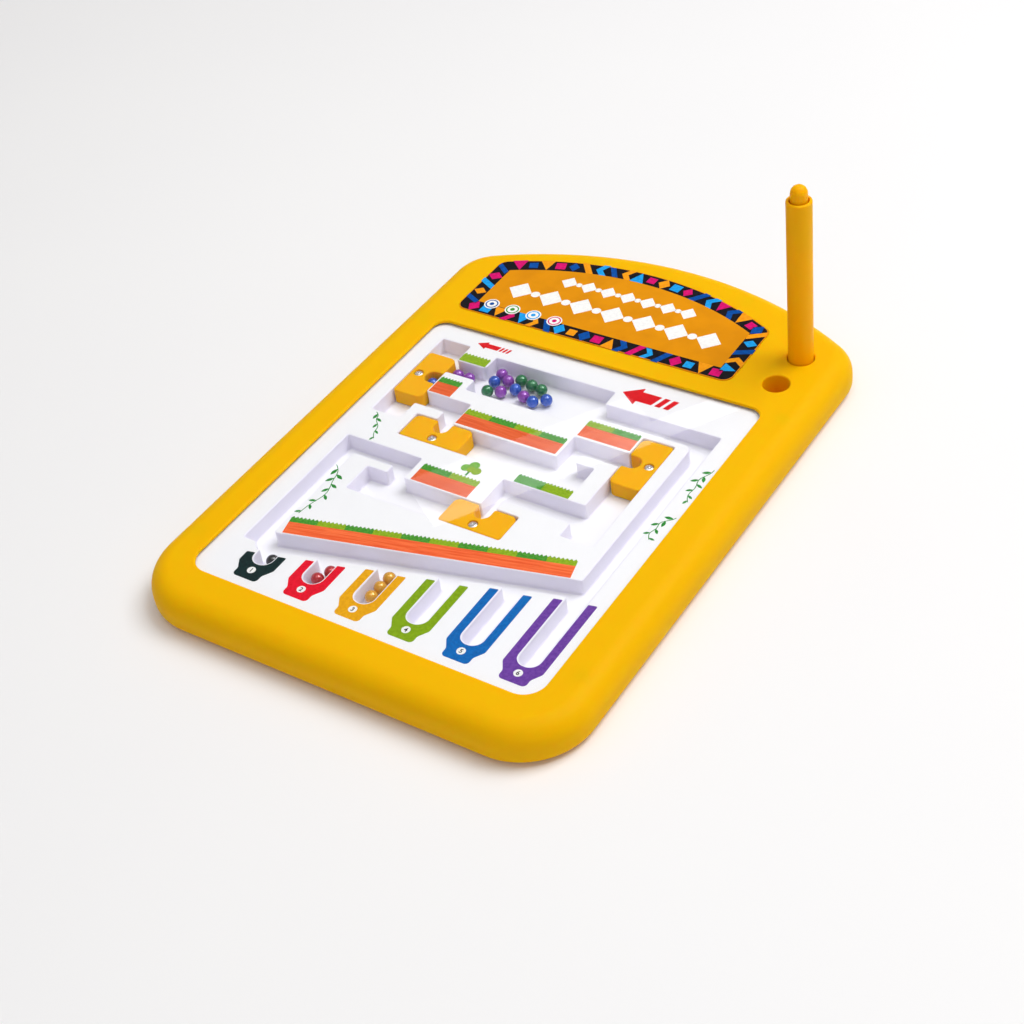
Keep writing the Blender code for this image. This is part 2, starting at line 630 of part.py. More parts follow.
def near_wall(finish):
    """The near border with the six ball slots between its teeth."""
    half, round_end = SLOT_WIDTH / 2, SLOT_WIDTH / 2 * SLOT_ROUND_SHARE
    corners = [(TRAY_LEFT, TRAY_NEAR, 0), (TRAY_RIGHT, TRAY_NEAR, 0), (TRAY_RIGHT, SLOT_SHOULDER, 0)]
    for i in reversed(range(SLOT_COUNT)):
        x = SLOT_FIRST + i * SLOT_PITCH
        right, left = x + half, x - half
        if i == SLOT_COUNT - 1:
            corners.append((right, SLOT_SHOULDER, 0))
        else:
            corners.append((right, ramp_near(right), WALL_CORNER))
        corners += [(right, SLOT_START, round_end), (left, SLOT_START, round_end)]
        corners.append((left, ramp_near(left), WALL_CORNER))
    corners[-1] = (left, ramp_near(left), 0)
    corners.append((LOOP_RIGHT, RAMP_LEFT, 0))
    corners.append((LOOP_LEFT + LOOP_NEAR_LENGTH, LOOP_NEAR, 0))
    corners.append((TRAY_LEFT, LOOP_NEAR, 0))
    wall("near_wall", corners, finish)


def border_walls(finish):
    """The left, right and far borders."""
    corners = [(TRAY_LEFT, LOOP_NEAR + GAP, 0), (LOOP_LEFT, LOOP_NEAR + GAP, 0)]
    corners += [(LOOP_LEFT, POCKET_1_NEAR, 0), (POCKET_1_LEFT, POCKET_1_NEAR, 0)]
    corners += [(POCKET_1_LEFT, POCKET_1_FAR - GAP, 0), (TRAY_LEFT, POCKET_1_FAR - GAP, 0)]
    wall("left_wall", corners, finish)
    near = SLOT_SHOULDER + GAP
    wall("right_wall", rectangle(RETURN_RIGHT, near, TRAY_RIGHT, RETURN_FAR - GAP), finish)
    corners = [(TRAY_LEFT, POCKET_1_FAR, 0), (POCKET_1_RIGHT, POCKET_1_FAR, 0)]
    corners += [(POCKET_1_RIGHT, CORRIDOR_1_FAR, 0), (START_LEFT, CORRIDOR_1_FAR, PENINSULA_CORNER)]
    corners += [(START_LEFT, START_FAR, 0), (START_RIGHT, START_FAR, 0), (START_RIGHT, RETURN_FAR, 0)]
    corners += [(TRAY_RIGHT, RETURN_FAR, 0), (TRAY_RIGHT, TRAY_FAR, 0), (TRAY_LEFT, TRAY_FAR, 0)]
    wall("far_wall", corners, finish)


def middle_walls(finish):
    """The wall that runs in from the left border, in two stretches."""
    corners = [(LOOP_LEFT + GAP, LOOP_ARM_FAR, 0), (PASSAGE_4_RIGHT, LOOP_ARM_FAR, 0)]
    corners += [(PASSAGE_4_RIGHT, POCKET_4_FAR, WALL_CORNER), (PASSAGE_5_LEFT, POCKET_4_FAR, WALL_CORNER)]
    corners += [(PASSAGE_5_LEFT, POCKET_2_NEAR, 0), (POCKET_2_LEFT, POCKET_2_NEAR, 0)]
    corners += [(POCKET_2_LEFT, POCKET_2_FAR, 0), (SLOT_2_LEFT, POCKET_2_FAR, WALL_CORNER)]
    corners += [(SLOT_2_LEFT, CORRIDOR_2_NEAR, WALL_CORNER), (POCKET_1_RIGHT, CORRIDOR_2_NEAR, 0)]
    corners += [(POCKET_1_RIGHT, POCKET_1_NEAR, 0), (LOOP_LEFT + GAP, POCKET_1_NEAR, 0)]
    wall("middle_wall_left", corners, finish)
    corners = [(PASSAGE_5_LEFT + GAP, CORRIDOR_4_FAR, 0), (POCKET_3_LEFT, CORRIDOR_4_FAR, WALL_CORNER)]
    corners.append((POCKET_3_LEFT, CORRIDOR_2_NEAR, WALL_CORNER))
    corners.append((PASSAGE_3_RIGHT, CORRIDOR_2_NEAR, WALL_CORNER))
    corners += [(PASSAGE_3_RIGHT, POCKET_2_FAR, WALL_CORNER), (POCKET_2_RIGHT, POCKET_2_FAR, 0)]
    corners += [(POCKET_2_RIGHT, POCKET_2_NEAR, 0), (PASSAGE_5_LEFT + GAP, POCKET_2_NEAR, 0)]
    wall("middle_wall_right", corners, finish)


def island_walls(finish):
    """The island in the loop of channels, in three stretches."""
    corners = [(POCKET_1_RIGHT, CORRIDOR_2_FAR, WALL_CORNER), (SLOT_2_RIGHT, CORRIDOR_2_FAR, 0)]
    corners += [(SLOT_2_RIGHT, POCKET_2_FAR, WALL_CORNER), (PASSAGE_3_LEFT, POCKET_2_FAR, WALL_CORNER)]
    corners += [(PASSAGE_3_LEFT, START_NEAR, 0), (START_LEFT, START_NEAR, 0)]
    corners += [(x, CORRIDOR_1_NEAR, WALL_CORNER) for x in (START_LEFT, POCKET_1_RIGHT)]
    wall("island_wall_start", corners, finish)
    corners = [(PASSAGE_3_LEFT + GAP, CORRIDOR_2_FAR, 0), (POCKET_3_LEFT, CORRIDOR_2_FAR, WALL_CORNER)]
    corners += [(POCKET_3_LEFT, POCKET_3_FAR, 0), (POCKET_3_RIGHT, POCKET_3_FAR, 0)]
    corners += [(POCKET_3_RIGHT, POCKET_3_NEAR + GAP, 0), (RETURN_LEFT, POCKET_3_NEAR + GAP, 0)]
    corners += [(RETURN_LEFT, RETURN_NEAR, BLOCK_CORNER), (PASSAGE_3_LEFT + GAP, RETURN_NEAR, 0)]
    wall("island_wall_return", corners, finish)
    corners = [(x, ramp_far(x), WALL_CORNER) for x in (LOOP_RIGHT, RETURN_LEFT)]
    corners += [(RETURN_LEFT, POCKET_3_NEAR, 0), (POCKET_3_LEFT, POCKET_3_NEAR, 0)]
    corners += [(x, CORRIDOR_4_NEAR, WALL_CORNER) for x in (POCKET_3_LEFT, PASSAGE_5_RIGHT)]
    corners += [(PASSAGE_5_RIGHT, POCKET_4_FAR, WALL_CORNER), (POCKET_4_RIGHT, POCKET_4_FAR, 0)]
    corners += [(POCKET_4_RIGHT, POCKET_4_NEAR, 0), (POCKET_4_LEFT, POCKET_4_NEAR, 0)]
    corners += [(POCKET_4_LEFT, POCKET_4_FAR, 0), (PASSAGE_4_LEFT, POCKET_4_FAR, WALL_CORNER)]
    corners += [(PASSAGE_4_LEFT, LOOP_ARM_NEAR, WALL_CORNER), (LOOP_RIGHT, LOOP_ARM_NEAR, WALL_CORNER)]
    wall("island_wall_lower", corners, finish)


def maze_floor(finish):
    """The floor of every channel."""
    corners = rectangle(TRAY_LEFT, TRAY_NEAR, TRAY_RIGHT, TRAY_FAR)
    outline = [plan(x, y) for x, y in rounded(corners)]
    new_object("maze_floor", prism(outline, FLOOR_UNDER, FLOOR_TOP), finish)


def gate_outline():
    """A gate's outline about its middle, with the notch in its far side."""
    half, depth, notch = GATE_LENGTH / 2, GATE_DEPTH / 2, NOTCH_WIDTH / 2
    bottom = depth - NOTCH_DEPTH
    round_end = notch * NOTCH_ROUND_SHARE
    corners = [(-half, -depth, GATE_BACK_ROUND), (half, -depth, GATE_BACK_ROUND)]
    corners += [(half, depth, GATE_FRONT_ROUND), (notch, depth, NOTCH_MOUTH_ROUND)]
    corners += [(notch, bottom, round_end), (-notch, bottom, round_end)]
    corners += [(-notch, depth, NOTCH_MOUTH_ROUND), (-half, depth, GATE_FRONT_ROUND)]
    return rounded(corners)


def gates(finish, steel):
    """Four shuttle gates, each with the steel screw that the pen's magnet pulls."""
    quarter = math.pi / 2
    places = (
        (GATE_1_X, GATE_1_Y, -quarter),
        (GATE_2_X, GATE_2_Y, 0.0),
        (GATE_3_X, GATE_3_Y, quarter),
        (GATE_4_X, GATE_4_Y, 0.0),
    )
    setback = GATE_DEPTH / 2 - GATE_SCREW_SETBACK
    for i, (x, y, turn) in enumerate(places):
        place = (*plan(x, y), WALL_BASE)
        gate = new_object(f"gate_{i + 1}", prism(gate_outline(), 0.0, GATE_HEIGHT), finish, place, turn)
        screw_x = place[0] + setback * math.sin(turn)
        screw_y = place[1] - setback * math.cos(turn)
        head = rod(GATE_SCREW_HEAD + 2 * GAP, GATE_SCREW_SEAT, GATE_HEIGHT + OVERRUN, SCREW_SIDES)
        shaped(gate, "DIFFERENCE", head, (screw_x, screw_y, WALL_BASE))
        shank = rod(GATE_SCREW_SHANK + 2 * GAP, GATE_SCREW_FLOOR, GATE_HEIGHT + OVERRUN, SCREW_SIDES)
        shaped(gate, "DIFFERENCE", shank, (screw_x, screw_y, WALL_BASE))
        top = (screw_x, screw_y, WALL_BASE + GATE_HEIGHT - GAP)
        sizes = (GATE_SCREW_HEAD, GATE_SCREW_HEAD_HEIGHT, GATE_SCREW_SHANK, GATE_SCREW_LENGTH)
        screw(f"gate_screw_{i + 1}", steel, top, *sizes, upright=True)


def ball(name, x, y, finish):
    """One ball on the maze's floor."""
    build = bmesh.new()
    bmesh.ops.create_uvsphere(build, u_segments=BALL_SIDES, v_segments=BALL_RINGS, radius=BALL / 2)
    place = (*plan(x, y), FLOOR_TOP + BALL_REST + BALL / 2)
    new_object(f"ball_{name}", finished(build), finish, place, smooth=True)


def balls(finishes):
    """The balls in the start area, the corridor, a gate's notch and the slots."""
    places = [(name, START_LEFT + BALL * x, START_NEAR + BALL * y) for name, x, y in PILE_SHARES]
    first = POCKET_1_RIGHT + GAP + BALL / 2
    places += [(name, first + BALL * share, CORRIDOR_1_MIDDLE) for name, share in CORRIDOR_BALL_SHARES]
    notch_bottom = GATE_1_X + GATE_DEPTH / 2 - NOTCH_DEPTH
    places.append((NOTCH_BALL, notch_bottom + GAP + BALL / 2, GATE_1_Y))
    for name, slot, across, along in SLOT_BALL_SHARES:
        middle = SLOT_FIRST + slot * SLOT_PITCH
        places.append((name, middle + BALL * across, SLOT_SHOULDER + BALL * along))
    for name, x, y in places:
        ball(name, x, y, finishes[name.split("_")[0]])


def pen(body, metal):
    """The magnet pen: a barrel with a magnet and a domed nub in its upper end."""
    x, y = plan(PEN_X, PEN_Y)
    radius, bore = PEN_DIAMETER / 2, PEN_BORE / 2
    foot = COVER_THICKNESS + GAP + SOCKET_BASE + GAP
    top = PEN_RISE + PANEL_TOP
    profile = [(radius - PEN_FOOT_CHAMFER, foot), (radius, foot + PEN_FOOT_CHAMFER)]
    profile += [(radius, top - PEN_CHAMFER), (radius - PEN_CHAMFER, top), (bore, top)]
    profile.append((bore, top - PEN_BORE_DEPTH))
    new_object("pen_barrel", turned(profile, ROUND_SIDES), body, (x, y, 0), smooth=True)
    low = top - PEN_BORE_DEPTH + GAP
    plug = bore - GAP
    magnet = turned([(plug, low), (plug, low + MAGNET_LENGTH)], ROUND_SIDES)
    new_object("pen_magnet", magnet, metal, (x, y, 0), smooth=True)
    stem = low + MAGNET_LENGTH + GAP
    crown = top + NUB_RISE - plug
    dome = [(plug * math.cos(t), crown + plug * math.sin(t)) for t in dome_turns()]
    new_object("pen_nub", turned([(plug, stem)] + dome, ROUND_SIDES), body, (x, y, 0), smooth=True)


def dome_turns():
    """Angles up a dome, from its foot to just short of its top."""
    return [math.pi / 2 * i / (DOME_STEPS + 1) for i in range(DOME_STEPS + 1)]


def main():
    """Makes the materials and the pieces, from the outside in."""
    for thing in list(bpy.data.objects):
        bpy.data.objects.remove(thing)
    yellow = material("yellow_plastic", (242, 185, 0), 0.35)
    white = material("white_plastic", (238, 238, 240), 0.4)
    lavender = material("tray_floor", (205, 203, 228), 0.4)
    clear = material("clear_sheet", (235, 240, 245), 0.05, alpha=0.15)
    card = material("label_card", (230, 150, 0), 0.5)
    steel = material("screw_steel", (190, 190, 190), 0.3, metallic=1.0)
    magnet = material("magnet", (120, 120, 125), 0.4, metallic=1.0)
    colours = {
        "purple": (120, 50, 150),
        "blue": (20, 60, 150),
        "green": (0, 90, 50),
        "black": (20, 20, 24),
        "red": (150, 10, 20),
        "gold": (200, 140, 10),
    }
    finishes = {name: material(f"ball_{name}", rgb, 0.2, metallic=0.6) for name, rgb in colours.items()}
    top_frame(yellow)
    header_label(card)
    clear_window(clear)
    back_cover(yellow)
    back_screws(steel)
    maze_floor(lavender)
    near_wall(white)
    border_walls(white)
    middle_walls(white)
    island_walls(white)
    gates(yellow, steel)
    balls(finishes)
    pen(yellow, magnet)


main()
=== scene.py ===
"""The looks of a magnetic maze board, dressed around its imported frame.

A yellow moulded frame holds a white maze tray under a clear window, with shuttle gates,
coloured steel balls, a printed header label and a magnet pen. Lengths are in metres.
"""

import logging
import math
from collections.abc import Sequence
from dataclasses import dataclass
from enum import Enum
from functools import cache

import bmesh
import bpy
import numpy as np
import numpy.typing as npt
from mathutils import Matrix, Vector
from mathutils.geometry import tessellate_polygon


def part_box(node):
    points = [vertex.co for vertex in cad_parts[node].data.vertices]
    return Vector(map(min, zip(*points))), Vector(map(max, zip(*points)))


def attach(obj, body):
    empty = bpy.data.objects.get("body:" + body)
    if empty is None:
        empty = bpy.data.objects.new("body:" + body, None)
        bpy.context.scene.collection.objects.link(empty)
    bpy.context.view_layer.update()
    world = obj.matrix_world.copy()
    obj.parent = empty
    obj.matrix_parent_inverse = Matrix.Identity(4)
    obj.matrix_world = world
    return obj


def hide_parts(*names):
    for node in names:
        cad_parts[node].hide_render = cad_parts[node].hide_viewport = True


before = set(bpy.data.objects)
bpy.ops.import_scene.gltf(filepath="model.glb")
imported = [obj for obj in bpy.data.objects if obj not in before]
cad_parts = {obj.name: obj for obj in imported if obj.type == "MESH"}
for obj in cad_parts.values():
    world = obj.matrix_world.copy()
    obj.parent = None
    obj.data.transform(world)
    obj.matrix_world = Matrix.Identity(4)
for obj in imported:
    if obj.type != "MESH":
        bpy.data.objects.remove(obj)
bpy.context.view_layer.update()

Points = npt.NDArray[np.float64]
Colour = tuple[int, int, int]
Pair = tuple[float, float]
Triple = tuple[float, float, float]
log = logging.getLogger("maze_board")

# Points nearer than MERGE are one, and edges that bend by more than SHARP stay sharp
MERGE = 2e-6
SHARP = math.radians(38)
QUARTER = math.pi / 2
# The thickness of a film of ink and the play between pieces
FILM = 0.00003
PLAY = 0.0003
# A fine round's sides, a fine quarter turn's points, and the corner radius of a slot's end in shares
# of half its width
SIDES = 96
ARC = 13
ROUND = 0.96


def linear(colour: Colour, share: float = 1.0) -> tuple[float, float, float, float]:
    """Turns an sRGB colour with channels from 0 to 255 into a linear one.

    Args:
        colour: Red, green and blue.
        share: How much of the light is kept.

    Returns:
        The linear channels and an alpha of 1.
    """
    parts = np.array(colour) / 255
    low, high = parts / 12.92, ((parts + 0.055) / 1.055) ** 2.4
    return (*(np.where(parts > 0.04, high, low) * share).tolist(), 1.0)


class Value:
    """A shader socket whose sums, differences and products add their own Math nodes."""

    def __init__(self, recipe: "Recipe", socket: bpy.types.NodeSocket) -> None:
        """Wraps one output socket of a recipe's tree."""
        self.recipe = recipe
        self.socket = socket

    def _math(self, operation: str, first: "Term", second: "Term") -> "Value":
        """Adds one Math node."""
        return self.recipe.add("ShaderNodeMath", {"operation": operation}, {0: first, 1: second})

    def __add__(self, other: "Term") -> "Value":
        """The sum."""
        return self._math("ADD", self, other)

    __radd__ = __add__

    def __sub__(self, other: "Term") -> "Value":
        """The difference."""
        return self._math("SUBTRACT", self, other)

    def __rsub__(self, other: "Term") -> "Value":
        """The difference from a number."""
        return self._math("SUBTRACT", other, self)

    def __mul__(self, other: "Term") -> "Value":
        """The product."""
        return self._math("MULTIPLY", self, other)

    __rmul__ = __mul__

    def power(self, other: "Term") -> "Value":
        """This value raised to a power."""
        return self._math("POWER", self, other)


Term = Value | float


class Recipe:
    """A material's node tree, built one node at a time."""

    def __init__(self, name: str) -> None:
        """Starts an empty tree with its output.

        Args:
            name: The material's name.
        """
        self.material = bpy.data.materials.new(name)
        self.material.use_nodes = True
        self.tree = self.material.node_tree
        self.tree.nodes.clear()
        self.end = self.tree.nodes.new("ShaderNodeOutputMaterial")

    def add(
        self, kind: str, settings: dict | None = None, sockets: dict | None = None, out: int | str = 0
    ) -> Value:
        """Adds a node, with its settings first and then its sockets.

        Args:
            kind: The node's type.
            settings: Values of its own settings.
            sockets: Values or links, by the socket's name or number.
            out: The output that is wanted.

        Returns:
            The wanted output.
        """
        node = self.tree.nodes.new(kind)
        for name, value in (settings or {}).items():
            setattr(node, name, value)
        for name, value in (sockets or {}).items():
            if isinstance(value, Value):
                self.tree.links.new(value.socket, node.inputs[name])
            else:
                node.inputs[name].default_value = value
        return Value(self, node.outputs[out])

    def place(self, scale: Sequence[float] = (1, 1, 1), turn: float = 0.0) -> Value:
        """Object coordinates, turned about Z and then scaled.

        Args:
            scale: The scale along the turned axes.
            turn: The angle about Z.

        Returns:
            The mapped coordinates.
        """
        raw = self.add("ShaderNodeTexCoord", out="Object")
        turned = self.add("ShaderNodeMapping", {}, {"Vector": raw, "Rotation": (0, 0, turn)})
        return self.add("ShaderNodeMapping", {}, {"Vector": turned, "Scale": scale})

    def noise(self, scale: float, detail: float = 2.0, where: Value | None = None) -> Value:
        """Soft noise between 0 and 1.

        Args:
            scale: Waves in a metre.
            detail: Octaves.
            where: The coordinates, or the object's own.

        Returns:
            The noise.
        """
        sockets = {"Vector": where or self.place(), "Scale": scale, "Detail": detail}
        return self.add("ShaderNodeTexNoise", {}, sockets)

    def mix(self, share: Term, first: "Value | tuple", second: "Value | tuple") -> Value:
        """A blend of two colours."""
        return self.add("ShaderNodeMix", {"data_type": "RGBA"}, {0: share, 6: first, 7: second}, out=2)

    def bump(self, height: Value, distance: float) -> Value:
        """A normal from a height in shares of a distance."""
        return self.add("ShaderNodeBump", {}, {"Height": height, "Distance": distance, "Strength": 1.0})

    def close(self, shader: Value) -> bpy.types.Material:
        """Joins a shader to the output and returns the material."""
        self.tree.links.new(shader.socket, self.end.inputs["Surface"])
        return self.material

    def surface(self, sockets: dict) -> Value:
        """A Principled shader with these sockets."""
        return self.add("ShaderNodeBsdfPrincipled", {}, sockets)


@dataclass(frozen=True)
class Coat:
    """What all finishes share.

    Args:
        name: The material's name.
    """

    name: str

    @cache
    def material(self) -> bpy.types.Material:
        """Builds the material once."""
        mix = Recipe(self.name)
        return mix.close(self.shader(mix))

    def shader(self, mix: Recipe) -> Value:
        """The finish's shader, which is a Principled one in most."""
        return mix.surface(self.sockets(mix))

    def sockets(self, mix: Recipe) -> dict:
        """The sockets of its Principled shader."""
        return {}


@dataclass(frozen=True)
class Moulding(Coat):
    """Moulded plastic with a fine grain, a faint flow in its colour and some depth.

    Args:
        colour: Its colour.
        roughness: How matte it is.
        depth: How far light gets into it, in metres.
        tint: How far each channel of light gets, in shares of the depth.
        glow: The share of light that goes in.
        grain: The height of the surface's grain, in metres.
        coat: A glossy top layer's weight.
        shine: How much it mirrors, with 0.5 for common plastic.
    """

    colour: Colour
    roughness: float
    depth: float
    tint: Triple
    glow: float
    grain: float = 6e-6
    coat: float = 0.0
    shine: float = 0.5

    def sockets(self, mix: Recipe) -> dict:
        """Flow, specks and grain.

        Args:
            mix: The material's recipe.

        Returns:
            The sockets.
        """
        flow = mix.noise(16.0, 3.0, mix.place((1.0, 0.45, 1.0)))
        speck = mix.noise(900.0, 2.0)
        grain = mix.noise(2600.0, 2.0)
        wave = mix.noise(55.0, 1.0)
        return {
            "Base Color": mix.mix(flow * 0.8 + speck * 0.2, linear(self.colour, 0.955), linear(self.colour)),
            "Roughness": self.roughness - 0.05 + speck * 0.06 + flow * 0.05,
            "IOR": 1.5,
            "Specular IOR Level": self.shine,
            "Normal": mix.bump(grain * 0.35 + wave * 0.65, self.grain * 4),
            "Coat Weight": self.coat,
            "Coat Roughness": 0.08,
            "Subsurface Weight": self.glow,
            "Subsurface Radius": self.tint,
            "Subsurface Scale": self.depth,
        }


@dataclass(frozen=True)
class Ink(Coat):
    """Printing ink on the panel or the label, with streaks along one direction.

    Args:
        light: The palest tone.
        dark: The deepest tone.
        streak: How many streaks there are in a metre across the streaks.
        stretch: A streak's length in its widths.
        turn: The direction of the streaks.
        roughness: How matte the print is.
    """

    light: Colour
    dark: Colour
    streak: float = 700.0
    stretch: float = 1.0
    turn: float = 0.0
    roughness: float = 0.36

    def sockets(self, mix: Recipe) -> dict:
        """Streaks and a fine screen.

        Args:
            mix: The material's recipe.

        Returns:
            The sockets.
        """
        where = mix.place((1.0 / self.stretch, 1.0, 1.0), -self.turn)
        streaks = mix.noise(self.streak, 3.0, where)
        screen = mix.noise(5200.0, 1.0)
        share = mix.add("ShaderNodeMapRange", {}, {"Value": streaks, "From Min": 0.36, "From Max": 0.64})
        return {
            "Base Color": mix.mix(share * 0.85 + screen * 0.15, linear(self.dark), linear(self.light)),
            "Roughness": self.roughness + screen * 0.06,
            "Normal": mix.bump(screen, 3e-6),
            "Specular IOR Level": 0.08,
        }


@dataclass(frozen=True)
class BallPaint(Coat):
    """Glossy candy paint over a steel ball.

    Args:
        colour: The paint's colour.
    """

    colour: Colour

    def sockets(self, mix: Recipe) -> dict:
        """Flakes and clouds.

        Args:
            mix: The material's recipe.

        Returns:
            The sockets.
        """
        flake = mix.noise(3800.0, 2.0)
        cloud = mix.noise(240.0, 2.0)
        base = linear(self.colour)
        return {
            "Base Color": mix.mix(flake * 0.35 + cloud * 0.65, linear(self.colour, 0.72), base),
            "Metallic": 0.2,
            "Roughness": 0.24 + flake * 0.08,
            "Normal": mix.bump(cloud, 6e-6),
            "Coat Weight": 1.0,
            "Coat Roughness": 0.03,
        }


@dataclass(frozen=True)
class BrightSteel(Coat):
    """Plated steel with a turned sheen and small stains.

    Args:
        colour: The metal's colour.
        roughness: How matte it is.
    """

    colour: Colour
    roughness: float

    def sockets(self, mix: Recipe) -> dict:
        """Stains and scratches.

        Args:
            mix: The material's recipe.

        Returns:
            The sockets.
        """
        stain = mix.noise(700.0, 3.0)
        scratch = mix.noise(5000.0, 2.0, mix.place((0.08, 1.0, 1.0), 0.6))
        return {
            "Base Color": mix.mix(stain, linear(self.colour, 0.7), linear(self.colour)),
            "Metallic": 1.0,
            "Roughness": self.roughness + stain * 0.16 + scratch * 0.06,
            "Normal": mix.bump(scratch, 4e-6),
        }


@dataclass(frozen=True)
class ClearSheet(Coat):
    """A thin clear sheet that lets lamps through and mirrors m + (1 - m)(1 - cos a)^5 at a slant a.

    Args:
        mirror: The share that it mirrors when seen straight on.
    """

    mirror: float = 0.012

    def shader(self, mix: Recipe) -> Value:
        """Mixes the clear sheet with its mirror.

        Args:
            mix: The material's recipe.

        Returns:
            The shader.
        """
        dust = mix.noise(420.0, 4.0)
        slant = mix.add("ShaderNodeLayerWeight", {}, {"Blend": 0.5}, out="Facing")
        clear = mix.add("ShaderNodeBsdfTransparent", {}, {"Color": (0.995, 0.997, 1.0, 1.0)})
        shine = {
            "Base Color": linear((246, 248, 250)),
            "Roughness": 0.008 + dust * 0.014,
            "Specular IOR Level": 1.0,
            "Metallic": 1.0,
        }
        share = slant.power(5.0) * (1 - self.mirror) + self.mirror
        return mix.add("ShaderNodeMixShader", {}, {0: share, 1: clear, 2: mix.surface(shine)})


class Made(Enum):
    """Named finishes, each of which makes its own material."""

    def made(self) -> bpy.types.Material:
        """The finish's material."""
        return self.value.material()


# How far red, green and blue light get into yellow plastic, in shares of red's way
AMBER = (1.0, 0.2, 0.01)


class Finish(Made):
    """The finishes of the board's own pieces."""

    FRAME = Moulding("yellow_plastic", (250, 182, 0), 0.5, 0.005, AMBER, 0.45, shine=0.05)
    GATE = Moulding("gate_plastic", (246, 178, 0), 0.3, 0.005, AMBER, 0.5, 4e-6, shine=0.06)
    PEN = Moulding("pen_plastic", (252, 180, 0), 0.4, 0.005, AMBER, 0.45, 4e-6, shine=0.08)
    # The tray's walls and outer sides take this lavender white, which is painted shade over the white
    # plastic; its floor and panel take the whiter panel finish
    TRAY = Moulding("tray_plastic", (243, 240, 255), 0.35, 0.003, (0.9, 0.88, 1.0), 0.4, 4e-6, shine=0.3)
    PANEL = Moulding("panel_plastic", (248, 248, 251), 0.35, 0.001, (1.0, 1.0, 1.0), 0.15, 2e-6, 0.1, 0.3)
    COVER = Moulding("cover_plastic", (240, 176, 0), 0.45, 0.003, (1.0, 0.32, 0.03), 0.3, 1.2e-5)
    STEEL = BrightSteel("screw_steel", (246, 246, 250), 0.22)
    MAGNET = BrightSteel("magnet_steel", (120, 120, 126), 0.35)
    SHEET = ClearSheet("clear_sheet")
    SOIL = Ink("soil_ink", (236, 112, 60), (218, 80, 34), 1500.0, 26.0)
    SOIL_SLANT = Ink("slanted_soil_ink", (250, 122, 66), (232, 84, 36), 1500.0, 26.0, math.radians(13.2))
    GRASS = Ink("grass_ink", (84, 162, 52), (52, 134, 34), 900.0)
    MEADOW = Ink("meadow_ink", (152, 184, 32), (122, 160, 18), 900.0)
    ARROW = Ink("arrow_ink", (232, 10, 26), (206, 0, 18))
    LEAF = Ink("leaf_ink", (58, 158, 62), (30, 122, 44), 900.0)
    CROWN = Ink("crown_ink", (128, 186, 62), (96, 164, 44), 900.0)
    WHITE = Ink("white_ink", (248, 248, 246), (236, 236, 236))
    BLACK = Ink("black_ink", (26, 24, 32), (12, 10, 18))
    FIELD = Ink("field_ink", (226, 146, 0), (214, 136, 0), 60.0)
    NAVY = Ink("navy_ink", (0, 84, 172), (0, 66, 146))
    SKY = Ink("sky_ink", (34, 166, 238), (14, 142, 220))
    PINK = Ink("pink_ink", (222, 16, 118), (196, 6, 98))
    ORANGE = Ink("orange_ink", (246, 162, 22), (236, 144, 8))
    SLOT_1 = Ink("first_slot_ink", (8, 44, 44), (2, 28, 30))
    SLOT_2 = Ink("second_slot_ink", (236, 4, 44), (216, 0, 34))
    SLOT_3 = Ink("third_slot_ink", (236, 172, 6), (222, 156, 0))
    SLOT_4 = Ink("fourth_slot_ink", (136, 172, 14), (120, 154, 4))
    SLOT_5 = Ink("fifth_slot_ink", (0, 110, 190), (0, 92, 168))
    SLOT_6 = Ink("sixth_slot_ink", (116, 70, 166), (98, 54, 148))


class BallColour(Made):
    """The paints of the balls."""

    PURPLE = BallPaint("purple_paint", (150, 62, 186))
    BLUE = BallPaint("blue_paint", (24, 88, 204))
    GREEN = BallPaint("green_paint", (0, 122, 66))
    BLACK = BallPaint("black_paint", (26, 27, 32))
    RED = BallPaint("red_paint", (196, 10, 26))
    GOLD = BallPaint("gold_paint", (240, 172, 20))


def ring(corners: Points, offset: float = 0.0) -> Points:
    """An outline through rounded corners, moved sideways.

    Each corner's arc keeps its centre, p + s r (n0 + n1) / (1 + n0.n1), where n0 and n1 are the
    left normals of the edges before and after it, r its radius and s the side that it turns to.
    The arc's points are centre - s (r - s offset) n, with n turning from n0 to n1, and there are
    3 + 40 sqrt(r) of them to a radian.

    Args:
        corners: Rows of x, y and radius.
        offset: How far the outline moves to the left of its own direction.

    Returns:
        The outline's points, equally many for every offset.
    """
    here, radius = corners[:, :2], corners[:, 2]
    ahead = np.roll(here, -1, axis=0) - here
    ahead /= np.linalg.norm(ahead, axis=1, keepdims=True)
    behind = np.roll(ahead, 1, axis=0)
    before = np.stack((-behind[:, 1], behind[:, 0]), axis=1)
    after = np.stack((-ahead[:, 1], ahead[:, 0]), axis=1)
    cross = behind[:, 0] * ahead[:, 1] - behind[:, 1] * ahead[:, 0]
    turn = np.arctan2(cross, (behind * ahead).sum(1))
    side = np.where(turn < 0, -1.0, 1.0)
    kept = np.where(radius - side * offset < 0, side * offset, radius)
    reach = kept - side * offset
    middle = (before + after) / (1 + (before * after).sum(1))[:, None]
    centre = here + (side * kept)[:, None] * middle
    count = np.ceil(np.abs(turn) * (3 + 40 * np.sqrt(radius))).astype(int) + 1
    which = np.repeat(np.arange(len(corners)), count + 1)
    first = np.repeat(np.cumsum(count + 1) - (count + 1), count + 1)
    angle = turn[which] * (np.arange(len(which)) - first) / count[which]
    normal = before[which]
    facing = np.stack(
        (
            np.cos(angle) * normal[:, 0] - np.sin(angle) * normal[:, 1],
            np.sin(angle) * normal[:, 0] + np.cos(angle) * normal[:, 1],
        ),
        axis=1,
    )
    return centre[which] - (side * reach)[which, None] * facing


